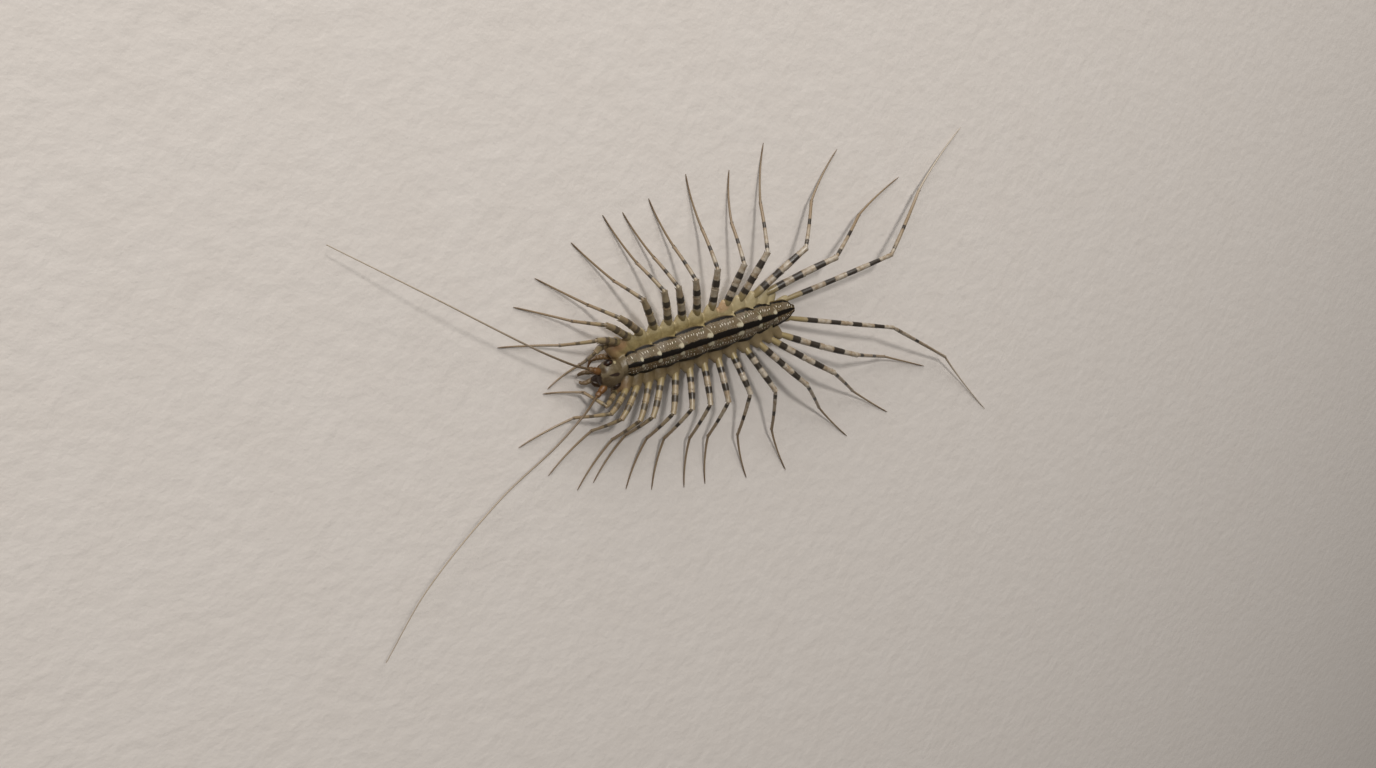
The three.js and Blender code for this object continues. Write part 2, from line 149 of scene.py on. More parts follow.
def work(obj: bpy.types.Object, kind: str, **settings: object) -> None:
    """Put a modifier on a piece and apply it.

    Args:
        obj: The piece.
        kind: The modifier's type.
        settings: The modifier's own settings.
    """
    modifier = obj.modifiers.new(kind.lower(), kind)
    for key, value in settings.items():
        setattr(modifier, key, value)
    choose(obj)
    bpy.ops.object.modifier_apply(modifier=modifier.name)


def shade(obj: bpy.types.Object, sharp: Optional[float] = None) -> bpy.types.Object:
    """Shade a piece smooth.

    Args:
        obj: The piece.
        sharp: Edges sharper than this, in degrees, stay sharp. Left out, all are smoothed.

    Returns:
        The same piece.
    """
    choose(obj)
    if sharp is None:
        bpy.ops.object.shade_smooth()
    else:
        bpy.ops.object.shade_smooth_by_angle(angle=math.radians(sharp))
    return obj


def stretched(at: Sequence[float], size: Sequence[float]) -> Matrix:
    """Place that sizes a piece along its axes and moves it."""
    return Matrix.Translation(at) @ Matrix.Diagonal((*size, 1.0))


def around(x: float, turn: float, radius: float, lean: float) -> Matrix:
    """Place on a tube along X.

    Args:
        x: Place along the tube.
        turn: Turn about the tube, in degrees.
        radius: How far from the tube's middle line.
        lean: How far the piece leans from upright towards +X, in degrees.

    Returns:
        The place.
    """
    return (Matrix.Translation((x, 0, 0)) @ Matrix.Rotation(math.radians(turn), 4, "X")
            @ Matrix.Translation((0, 0, radius)) @ Matrix.Rotation(math.radians(lean), 4, "Y"))


def write_on(obj: bpy.types.Object, name: str, value: Callable[[float], float]) -> None:
    """Write a number on each corner of a straight piece.

    Args:
        obj: The piece, straight along X.
        name: The number's name.
        value: Gives the number from the corner's place along X.
    """
    layer = obj.data.attributes.new(name, "FLOAT", "POINT").data
    for corner, number in zip(obj.data.vertices, layer):
        number.value = value(corner.co.x)


def discard(*pieces: bpy.types.Object) -> None:
    """Take template pieces and guides out of the scene."""
    for piece in pieces:
        bpy.data.objects.remove(piece, do_unlink=True)


def name_slots(obj: bpy.types.Object, *finishes: bpy.types.Material) -> None:
    """Give a piece its material slots in order.

    Args:
        obj: The piece.
        finishes: Its materials, in slot order.
    """
    obj.data.materials.clear()
    for finish in finishes:
        obj.data.materials.append(finish)


class Place(Enum):
    """Material places of a piece with two finishes."""

    SHELL = 0
    HORN = 1


def mark(obj: bpy.types.Object, place: Place) -> bpy.types.Object:
    """Put all faces of a piece in one of the two material places.

    Args:
        obj: The piece.
        place: The material place of all its faces.

    Returns:
        The same piece.
    """
    for each in Place:
        name = f"{each.name.lower()}_place"
        obj.data.materials.append(bpy.data.materials.get(name) or bpy.data.materials.new(name))
    for face in obj.data.polygons:
        face.material_index = place.value
    return obj


class Bench:
    """Edit mode on one piece, where corners and faces are picked by place."""

    def __init__(self, obj: bpy.types.Object) -> None:
        """Remember the piece."""
        self.obj = obj

    def __enter__(self) -> "Bench":
        """Open the piece with nothing selected.

        Returns:
            The bench itself.
        """
        choose(self.obj)
        bpy.ops.object.mode_set(mode="EDIT")
        bpy.ops.mesh.select_all(action="DESELECT")
        return self

    def __exit__(self, *_: object) -> None:
        """Close the piece."""
        bpy.ops.object.mode_set(mode="OBJECT")

    def all(self) -> None:
        """Select the whole piece."""
        bpy.ops.mesh.select_all(action="SELECT")

    def corners(self, test: Callable[[bmesh.types.BMVert], bool]) -> None:
        """Select the corners that pass a test.

        Args:
            test: Says whether a corner is picked.
        """
        bpy.ops.mesh.select_mode(type="VERT")
        bpy.ops.mesh.select_all(action="DESELECT")
        mesh = bmesh.from_edit_mesh(self.obj.data)
        for corner in mesh.verts:
            if test(corner):
                corner.select = True
        mesh.select_flush(True)
        bmesh.update_edit_mesh(self.obj.data)

    def faces(self, test: Callable[[Vector], bool]) -> None:
        """Select the faces whose middle passes a test.

        Args:
            test: Says whether the face with this middle is picked.
        """
        bpy.ops.mesh.select_mode(type="FACE")
        bpy.ops.mesh.select_all(action="DESELECT")
        mesh = bmesh.from_edit_mesh(self.obj.data)
        for face in mesh.faces:
            if test(face.calc_center_median()):
                face.select = True
        mesh.select_flush_mode()
        bmesh.update_edit_mesh(self.obj.data)

    def move(self, *way: float, reach: float = 0.0) -> None:
        """Move what is selected.

        Args:
            way: How far along each axis.
            reach: How far what is near moves with it.
        """
        bpy.ops.transform.translate(
            value=way, use_proportional_edit=reach > 0, proportional_size=max(reach, 0.001))

    def size(self, *scale: float, centre: Sequence[float] = (0.0, 0.0, 0.0), reach: float = 0.0) -> None:
        """Resize what is selected about a centre.

        Args:
            scale: The size to each side, 1 for unchanged.
            centre: What stays in place.
            reach: How far what is near moves with it.
        """
        bpy.ops.transform.resize(
            value=scale, center_override=tuple(centre),
            use_proportional_edit=reach > 0, proportional_size=max(reach, 0.001))

    def draw_out(self, *way: float) -> None:
        """Extrude what is selected along a way."""
        bpy.ops.mesh.extrude_region_move(TRANSFORM_OT_translate={"value": way})

    def turn_out(self) -> None:
        """Merge doubled corners and turn every face outwards."""
        self.all()
        bpy.ops.mesh.remove_doubles(threshold=1e-5)
        bpy.ops.mesh.normals_make_consistent(inside=False)


@dataclass(frozen=True)
class Ring:
    """One ring of a drawn tube: its place along X, half sizes, and middle."""

    x: float
    wide: float
    high: float
    z: float = 0.0
    y: float = 0.0


def draw_tube(name: str, sides: int, rings: Sequence[Ring]) -> bpy.types.Object:
    """Draw a closed tube along X, extruded ring by ring from a filled circle.

    Args:
        name: The piece's name.
        sides: Corners of each ring.
        rings: The rings in order.

    Returns:
        The closed tube.
    """
    first = rings[0]
    bpy.ops.mesh.primitive_circle_add(
        vertices=sides, radius=1.0, fill_type="NGON",
        location=(first.x, first.y, first.z), rotation=(0.0, math.pi / 2, 0.0))
    obj = settle(bpy.context.object)
    obj.name = name
    with Bench(obj) as bench:
        bench.all()
        bench.size(1.0, first.wide, first.high, centre=(first.x, first.y, first.z))
        for last, ring in zip(rings, rings[1:]):
            bench.draw_out(ring.x - last.x, ring.y - last.y, ring.z - last.z)
            bench.size(1.0, ring.wide / last.wide, ring.high / last.high,
                       centre=(ring.x, ring.y, ring.z))
        bench.turn_out()
    return obj


def draw_unit(name: str, sides: int, sizes: Sequence[float]) -> bpy.types.Object:
    """Draw a tube of unit length along X from evenly spaced round rings of these sizes."""
    last = len(sizes) - 1
    return draw_tube(name, sides, [Ring(i / last, size, size) for i, size in enumerate(sizes)])


def thorn(radius: float, length: float, sides: int = 4) -> bpy.types.Object:
    """Model one fine thorn along +Z: a cone whose tip leans a little.

    Args:
        radius: Radius of its foot.
        length: Its length.
        sides: Corners of its foot.

    Returns:
        The thorn, with its foot at the origin.
    """
    bpy.ops.mesh.primitive_cone_add(
        vertices=sides, radius1=radius, radius2=0.0, depth=length, location=(0, 0, length / 2))
    made = settle(bpy.context.object)
    with Bench(made) as bench:
        bench.corners(lambda corner: corner.co.z > length * 0.9)
        bench.move(length * 0.2, 0, 0)
    return made


@dataclass(frozen=True)
class WayPoint:
    """A point of a guide curve and how thick the piece is there."""

    at: Vector
    size: float = 1.0


def bend(obj: bpy.types.Object, way: Sequence[WayPoint]) -> None:
    """Bend a piece that was made straight along X so that it follows a way.

    Args:
        obj: The straight piece, which starts at x = 0.
        way: The points that its middle line follows.
    """
    curve = bpy.data.curves.new("guide", "CURVE")
    curve.dimensions = "3D"
    curve.twist_mode = "Z_UP"
    spline = curve.splines.new("POLY")
    spline.points.add(len(way) - 1)
    for point, stop in zip(spline.points, way):
        point.co = (*stop.at, 1.0)
        point.radius = stop.size
    guide = bpy.data.objects.new("guide", curve)
    bpy.context.scene.collection.objects.link(guide)
    work(obj, "CURVE", object=guide, deform_axis="POS_X")
    discard(guide)


def length_of(points: Sequence[Vector]) -> float:
    """Length of a way through points."""
    return sum((b - a).length for a, b in zip(points, points[1:]))


def arc(start: Vector, middle: Vector, end: Vector, steps: int) -> list[Vector]:
    """Points on the simple curve that leaves start and reaches end by way of middle."""
    near, far = start.lerp(middle, 2 / 3), end.lerp(middle, 2 / 3)
    return list(geometry.interpolate_bezier(start, near, far, end, steps))


def spline_through(places: Sequence[Vector], steps: int) -> list[Vector]:
    """Points on a smooth curve through places.

    Args:
        places: Where the curve passes.
        steps: Points on each stretch.

    Returns:
        The points, with none doubled.
    """
    points: list[Vector] = []
    padded = [places[0] * 2 - places[1], *places, places[-1] * 2 - places[-2]]
    for before, start, end, after in zip(padded, padded[1:], padded[2:], padded[3:]):
        span = (end - start).length
        leave = (end - before) * (span / ((start - before).length + span))
        reach = (after - start) * (span / ((after - end).length + span))
        stretch = geometry.interpolate_bezier(start, start + leave / 3, end - reach / 3, end, steps)
        points += stretch if not points else stretch[1:]
    return points


def set_down(obj: bpy.types.Object, name: str, slot: str, *nodes: str) -> bpy.types.Object:
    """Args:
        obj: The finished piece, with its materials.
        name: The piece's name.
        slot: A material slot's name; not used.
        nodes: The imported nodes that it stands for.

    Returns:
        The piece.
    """
    obj.name = name
    obj.data.name = name
    obj.location = TRUNK_MIDDLE * MM
    obj.scale = (MM, MM, MM)
    settle(obj)
    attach(obj, "root")
    if nodes:
        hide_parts(*nodes)
    log.info("%s: %d faces", name, len(obj.data.polygons))
    return obj


class Graph:
    """The node tree of one material, wired node by node."""

    def __init__(self, name: str) -> None:
        """Start a material with its principled shader.

        Args:
            name: The material's name.
        """
        self.material = bpy.data.materials.new(name)
        self.material.use_nodes = True
        self.tree = self.material.node_tree
        self.shader = self.tree.nodes["Principled BSDF"]

    def node(self, kind: str, **settings: object) -> bpy.types.Node:
        """Add a node with its settings.

        Args:
            kind: The node's type.
            settings: Its own settings.

        Returns:
            The node.
        """
        made = self.tree.nodes.new(kind)
        for key, value in settings.items():
            setattr(made, key, value)
        return made

    def plug(self, socket: bpy.types.NodeSocket, value: object) -> None:
        """Link an output or set a plain value on an input.

        Args:
            socket: The input.
            value: The output or plain value that it takes.
        """
        if isinstance(value, bpy.types.NodeSocket):
            self.tree.links.new(value, socket)
        else:
            socket.default_value = value

    def attribute(self, name: str) -> bpy.types.NodeSocket:
        """Read a number that the piece carries on its corners."""
        return self.node("ShaderNodeAttribute", attribute_name=name).outputs["Fac"]

    def place(self) -> bpy.types.NodeSocket:
        """Place on the piece, in millimetres.

        Returns:
            The place as a vector.
        """
        coordinates = self.node("ShaderNodeTexCoord").outputs["Object"]
        scaled = self.node("ShaderNodeVectorMath", operation="SCALE")
        self.plug(scaled.inputs[0], coordinates)
        scaled.inputs["Scale"].default_value = 1 / MM
        return scaled.outputs[0]

    def axis(self, index: int) -> bpy.types.NodeSocket:
        """One coordinate of the place, in millimetres in the trunk's own frame.

        Args:
            index: 0 for X, 1 for Y, 2 for Z.

        Returns:
            The coordinate.
        """
        split = self.node("ShaderNodeSeparateXYZ")
        self.plug(split.inputs[0], self.place())
        return self.math("SUBTRACT", split.outputs[index], TRUNK_MIDDLE[index])

    def noise(self, size: float, detail: float = 3.0) -> bpy.types.NodeSocket:
        """Cloudy variation about 0.5.

        Args:
            size: How large its blotches are, in millimetres.
            detail: How many finer levels it has.

        Returns:
            The variation.
        """
        cloud = self.node("ShaderNodeTexNoise")
        self.plug(cloud.inputs["Vector"], self.place())
        cloud.inputs["Scale"].default_value = 1 / size
        cloud.inputs["Detail"].default_value = detail
        cloud.inputs["Roughness"].default_value = 0.55
        return cloud.outputs["Fac"]

    def ragged(self, size: float, depth: float) -> bpy.types.NodeSocket:
        """Cloudy variation about 0, which makes an edge ragged."""
        return self.times(self.minus(self.noise(size), 0.5), depth)

    def cells(self, size: float) -> bpy.types.NodeSocket:
        """Distance to the nearest of scattered points.

        Args:
            size: How far apart the points are, in millimetres.

        Returns:
            The distance.
        """
        pattern = self.node("ShaderNodeTexVoronoi")
        self.plug(pattern.inputs["Vector"], self.place())
        pattern.inputs["Scale"].default_value = 1 / size
        return pattern.outputs["Distance"]

    def math(self, operation: str, a: object, b: object = 0.0) -> bpy.types.NodeSocket:
        """One step of arithmetic.

        Args:
            operation: The operation's name.
            a: The first number.
            b: The second, where the operation has one.

        Returns:
            The result.
        """
        step = self.node("ShaderNodeMath", operation=operation)
        self.plug(step.inputs[0], a)
        self.plug(step.inputs[1], b)
        return step.outputs[0]

    def plus(self, a: object, b: object) -> bpy.types.NodeSocket:
        """Sum of two numbers."""
        return self.math("ADD", a, b)

    def minus(self, a: object, b: object) -> bpy.types.NodeSocket:
        """Difference of two numbers."""
        return self.math("SUBTRACT", a, b)

    def times(self, a: object, b: object) -> bpy.types.NodeSocket:
        """Product of two numbers."""
        return self.math("MULTIPLY", a, b)

    def squares(self, *numbers: object) -> bpy.types.NodeSocket:
        """Sum of the squares of numbers, which is 1 on the edge of an oval.

        Args:
            numbers: Each a distance from the oval's middle as a share of its half size.

        Returns:
            The sum.
        """
        total: object = 0.0
        for number in numbers:
            total = self.plus(total, self.times(number, number))
        return total

    def step(self, value: object, low: float, high: float) -> bpy.types.NodeSocket:
        """Ease from 0 to 1 between two values of a number.

        Args:
            value: The number.
            low: Where the result is 0.
            high: Where it is 1. It may be the lower of the two.

        Returns:
            The share.
        """
        ranged = self.node("ShaderNodeMapRange", interpolation_type="SMOOTHSTEP")
        self.plug(ranged.inputs["Value"], value)
        ranged.inputs["From Min"].default_value = low
        ranged.inputs["From Max"].default_value = high
        return ranged.outputs["Result"]

    def near(self, at: Sequence[float], size: Sequence[float], edge: float) -> bpy.types.NodeSocket:
        """1 inside an ellipsoid in the trunk's own frame and 0 outside.

        Args:
            at: Its middle.
            size: Its half sizes.
            edge: How soft its edge is.

        Returns:
            The share.
        """
        away = (self.math("DIVIDE", self.minus(self.axis(i), at[i]), size[i]) for i in range(3))
        return self.step(self.squares(*away), 1 + edge, 1 - edge)

    def mix(self, share: object, a: object, b: object) -> bpy.types.NodeSocket:
        """Colour between two others.

        Args:
            share: 0 for the first, 1 for the second.
            a: The first colour.
            b: The second colour.

        Returns:
            The colour.
        """
        mixer = self.node("ShaderNodeMix", data_type="RGBA")
        self.plug(mixer.inputs[0], share)
        self.plug(mixer.inputs[6], a)
        self.plug(mixer.inputs[7], b)
        return mixer.outputs[2]

    def over(self, colour: object, other: object, where: object, strength: float) -> bpy.types.NodeSocket:
        """Lay another colour over one, at a strength, where a share says."""
        return self.mix(self.times(where, strength), colour, other)

    def bump(self, height: object, depth: float) -> None:
        """Raise the surface.

        Args:
            height: The height as a share.
            depth: How many millimetres a height of 1 is.
        """
        made = self.node("ShaderNodeBump")
        made.inputs["Strength"].default_value = 1.0
        made.inputs["Distance"].default_value = depth * MM
        self.plug(made.inputs["Height"], height)
        self.plug(self.shader.inputs["Normal"], made.outputs[0])

    def finish(self, colour: object, roughness: object, **constants: float) -> bpy.types.Material:
        """Wire the shader and return the material.

        Args:
            colour: The base colour.
            roughness: The roughness.
            constants: Plain values for further inputs, with _ for each space.

        Returns:
            The material.
        """
        self.plug(self.shader.inputs["Base Color"], colour)
        self.plug(self.shader.inputs["Roughness"], roughness)
        for key, value in constants.items():
            self.shader.inputs[key.replace("_", " ")].default_value = value
        return self.material


Colour = tuple[float, float, float, float]


def linear(value: int) -> float:
    """Linear light of one everyday 0-255 value."""
    share = value / 255
    return share / 12.92 if share <= 0.04045 else ((share + 0.055) / 1.055) ** 2.4


def srgb(red: int, green: int, blue: int) -> Colour:
    """Linear colour from everyday 0-255 values."""
    return (linear(red), linear(green), linear(blue), 1.0)


@dataclass(frozen=True)
class PlateFinish:
    """Back plates: three near-black stripes, brown bands and pale spots at the hind margins, with the
    bands and rims darker on the left half as painted shade.

    A place across is 0 on a plate's middle line and 1 at its side. A place along is 0 at its front.
    """

    stripe: Colour = srgb(15, 9, 4)
    band_right: Colour = srgb(98, 84, 62)
    # Painted shade: the left half's band brown is darker than the right's.
    band_left_shaded: Colour = srgb(92, 75, 52)
    # Painted sheen: a lighter grey laid over the bands in random patches.
    sheen: Colour = srgb(110, 98, 82)
    moss: Colour = srgb(76, 76, 50)
    spot: Colour = srgb(178, 170, 146)
    rim_right: Colour = srgb(98, 82, 52)
    # Painted shade: the plates' outer rim is near black on the left and olive brown on the right.
    rim_left_shaded: Colour = srgb(56, 43, 27)
    middle_stripe: tuple[float, float] = (0.235, 0.165)
    side_stripe: tuple[float, float] = (0.84, 0.89)
    side_shift: float = 0.05
    scallop: float = 0.06
    rim: tuple[float, float] = (0.94, 0.98)
    hind_margin: tuple[float, float] = (0.955, 0.985)
    band_middle: float = 0.48
    band_half: tuple[float, float] = (0.3, 0.2)
    spot_at: tuple[float, float] = (0.3, 0.93)
    spot_half: tuple[float, float] = (0.17, 0.13)
    fleck_size: float = 0.11

    def make(self) -> bpy.types.Material:
        """Build the material.

        Returns:
            The material.
        """
        g = Graph("back_plate")
        across, along = g.attribute("across"), g.attribute("along")
        off, left = g.math("ABSOLUTE", across), g.step(across, -0.1, 0.1)
        ragged = g.ragged(0.28, 0.16)
        colour = self._bands(g, left)
        colour = g.mix(g.step(g.plus(off, ragged), *self.middle_stripe), colour, self.stripe)
        scallop = g.times(g.math("SINE", g.times(along, math.pi)), self.scallop)
        outer = g.plus(g.plus(off, g.times(left, self.side_shift)), g.plus(ragged, scallop))
        colour = g.mix(g.step(outer, *self.side_stripe), colour, self.stripe)
        on_band = g.step(g.math("ABSOLUTE", g.minus(off, self.band_middle)), *self.band_half)
        colour = g.over(colour, self.spot, g.times(g.step(along, *self.hind_margin), on_band), 0.55)
        colour = g.over(colour, self.spot, self._spots(g, off, along), 0.85)
        # Painted shade: the rim is darker on the left half.
        colour = g.over(colour, g.mix(left, self.rim_right, self.rim_left_shaded), g.step(off, *self.rim), 0.85)
        fleck = g.step(g.cells(self.fleck_size), 0.1, 0.4)
        g.bump(g.plus(g.times(g.noise(0.22), 0.6), g.times(fleck, -0.25)), 0.03)
        rough = g.plus(g.times(g.noise(0.5), 0.2), 0.36)
        return g.finish(colour, rough, Specular_IOR_Level=0.22, Coat_Weight=0.06, Coat_Roughness=0.25)

    def _bands(self, g: Graph, left: object) -> bpy.types.NodeSocket:
        """The brown between the stripes, greyer in patches of painted sheen, mossier in others, and darker
        on the left half as painted shade.

        Args:
            g: The material's graph.
            left: 0 on the plate's right half and 1 on its left.

        Returns:
            The colour.
        """
        # Painted shade: the left half takes the darker band brown.
        band = g.mix(left, self.band_right, self.band_left_shaded)
        # Patches of painted sheen over the band brown.
        band = g.mix(g.step(g.noise(1.3, 2.0), 0.42, 0.68), band, self.sheen)
        return g.over(band, self.moss, g.step(g.noise(0.9, 2.0), 0.56, 0.72), 0.6)

    def _spots(self, g: Graph, off: object, along: object) -> bpy.types.NodeSocket:
        """The pale, cloudy spots at the hind corners of the middle stripe.

        Args:
            g: The material's graph.
            off: Place across.
            along: Place along.

        Returns:
            Their share.
        """
        away = (g.math("DIVIDE", g.minus(place, at), half)
                for place, at, half in zip((off, along), self.spot_at, self.spot_half))
        return g.step(g.plus(g.squares(*away), g.ragged(0.25, 1.6)), 1.3, 0.1)


@dataclass(frozen=True)
class SkinFinish:
    """Soft sides and coxae: olive yellow with rosy touches, paler behind, and browner on the left as
    painted shade.
    """

    olive: Colour = srgb(148, 132, 90)
    deep: Colour = srgb(132, 116, 76)
    pale: Colour = srgb(186, 171, 134)
    # Painted shade: brown laid over the left side.
    brown: Colour = srgb(92, 75, 50)
    rosy: Colour = srgb(166, 116, 88)
    rust: Colour = srgb(128, 96, 66)
    belly: Colour = srgb(150, 130, 88)
    nape: Colour = srgb(98, 86, 64)
    rosy_at: tuple[tuple[float, float, float], ...] = (
        (-4.3, -2.9, 2.9), (-1.8, 3.5, 2.8), (9.8, -2.4, 2.8))
    rosy_half: tuple[float, float, float] = (1.0, 0.65, 0.9)
    nape_at: tuple[float, float, float] = (9.9, 0.2, 3.5)
    nape_half: tuple[float, float, float] = (1.1, 1.5, 1.0)
    pale_from: tuple[float, float] = (2.6, 3.5)
    tail_from: tuple[float, float] = (0.0, -8.0)
    left_shade_from: tuple[float, float] = (1.0, 2.6)
    belly_from: tuple[float, float] = (2.1, 1.3)
    front_from: tuple[float, float] = (9.2, 11.2)

    def make(self) -> bpy.types.Material:
        """Build the material.

        Returns:
            The material.
        """
        g = Graph("soft_skin")
        x, y, z = (g.axis(i) for i in range(3))
        colour = g.mix(g.step(g.noise(0.7), 0.35, 0.65), self.olive, self.deep)
        out = g.plus(g.math("ABSOLUTE", y), g.noise(0.4))
        colour = g.over(colour, self.pale, g.step(out, *self.pale_from), 0.7)
        colour = g.over(colour, self.pale, g.step(x, *self.tail_from), 0.6)
        for at in self.rosy_at:
            colour = g.over(colour, self.rosy, g.near(at, self.rosy_half, 0.9), 0.45)
        # Painted shade: the left side turns brown.
        colour = g.over(colour, self.brown, g.step(g.plus(y, g.noise(0.8)), *self.left_shade_from), 0.8)
        colour = g.over(colour, self.belly, g.step(z, *self.belly_from), 0.7)
        colour = g.over(colour, self.rust, g.step(g.plus(x, g.noise(0.8)), *self.front_from), 0.6)
        colour = g.over(colour, self.nape, g.near(self.nape_at, self.nape_half, 0.3), 0.9)
        g.bump(g.noise(0.16, 4.0), 0.04)
        return g.finish(colour, 0.45, Specular_IOR_Level=0.45, Coat_Weight=0.25, Coat_Roughness=0.28)


@dataclass(frozen=True)
class LegFinish:
    """Legs: olive at the hip, pale shell with dark rings that are faint in front, brown at the tip.

    The fields that end in "from" are shares of the leg's length.
    """

    pale: Colour = srgb(168, 158, 143)
    moss: Colour = srgb(138, 122, 90)
    root: Colour = srgb(140, 124, 86)
    tan: Colour = srgb(134, 115, 90)
    tip: Colour = srgb(112, 92, 70)
    whip: Colour = srgb(178, 166, 150)
    ring: Colour = srgb(36, 28, 20)
    tan_from: tuple[float, float] = (0.42, 0.66)
    tip_from: tuple[float, float] = (0.82, 1.0)
    root_from: tuple[float, float] = (0.11, 0.06)
    whip_from: tuple[float, float] = (0.55, 0.8)
    front_strength: float = 0.64
    hind_strength: float = 0.32

    def make(self) -> bpy.types.Material:
        """Build the material.

        Returns:
            The material.
        """
        g = Graph("leg_shell")
        share, ring, hind = (g.attribute(name) for name in ("tipward", "ring", "hind"))
        tone = g.mix(g.step(hind, 0.15, 0.75), self.moss, self.pale)
        base = g.mix(g.step(g.noise(0.6), 0.35, 0.7), tone, self.tan)
        base = g.mix(g.step(g.plus(share, g.times(g.noise(0.9), 0.15)), *self.tan_from), base, self.tan)
        base = g.mix(g.step(share, *self.tip_from), base, self.tip)
        base = g.mix(g.step(g.plus(share, g.times(g.noise(0.5), 0.04)), *self.root_from), base, self.root)
        trailing = g.times(g.step(hind, 0.97, 0.99), g.step(share, *self.whip_from))
        base = g.mix(trailing, base, self.whip)
        dark = g.step(g.plus(ring, g.ragged(0.3, 0.3)), -0.08, 0.08)
        strength = g.plus(g.times(g.step(hind, 0.05, 0.5), self.hind_strength), self.front_strength)
        colour = g.mix(g.times(dark, strength), base, self.ring)
        g.bump(g.noise(0.1), 0.015)
        return g.finish(colour, 0.4, Specular_IOR_Level=0.45, Coat_Weight=0.35, Coat_Roughness=0.22)


@dataclass(frozen=True)
class HornFinish:
    """A hard, glossy piece that darkens towards its tip."""

    name: str
    base: Colour
    tip: Colour
    roughness: float = 0.32
    cloud: float = 0.3

    def make(self) -> bpy.types.Material:
        """Build the material.

        Returns:
            The material.
        """
        g = Graph(self.name)
        colour = g.mix(g.step(g.attribute("tipward"), 0.15, 0.95), self.base, self.tip)
        colour = g.over(colour, self.tip, g.step(g.noise(self.cloud), 0.4, 0.75), 0.45)
        g.bump(g.noise(0.12), 0.015)
        return g.finish(colour, self.roughness, Specular_IOR_Level=0.5,
                        Coat_Weight=0.3, Coat_Roughness=0.25)


# Pale finish of the thorns, which also paints the folds near white as painted glints.
PALE_BRISTLE_AND_GLINT = HornFinish("pale_bristle", srgb(222, 215, 198), srgb(236, 230, 216), 0.3)
SPUR = HornFinish("leg_spur", srgb(70, 46, 30), srgb(28, 18, 14))
CLAW = HornFinish("claw_shell", srgb(128, 102, 66), srgb(86, 60, 34), 0.4)
PALP = HornFinish("palp_shell", srgb(128, 106, 76), srgb(104, 82, 54), 0.55)


@dataclass(frozen=True)
class FeelerFinish:
    """Feelers: rust base joints, then a brown thread that pales towards its tip."""

    rust: Colour = srgb(102, 68, 32)
    brown: Colour = srgb(104, 86, 64)
    tan: Colour = srgb(168, 154, 136)
    thread_from: tuple[float, float] = (0.035, 0.075)
    paling: tuple[float, float] = (0.05, 0.6)

    def make(self) -> bpy.types.Material:
        """Build the material.

        Returns:
            The material.
        """
        g = Graph("feeler_shell")
        share = g.attribute("tipward")
        thread = g.mix(g.step(share, *self.paling), self.brown, self.tan)
        past_base = g.step(g.plus(share, g.times(g.noise(0.5), 0.02)), *self.thread_from)
        g.bump(g.noise(0.12), 0.015)
        return g.finish(g.mix(past_base, self.rust, thread), 0.45,
                        Specular_IOR_Level=0.45, Coat_Weight=0.15, Coat_Roughness=0.3)


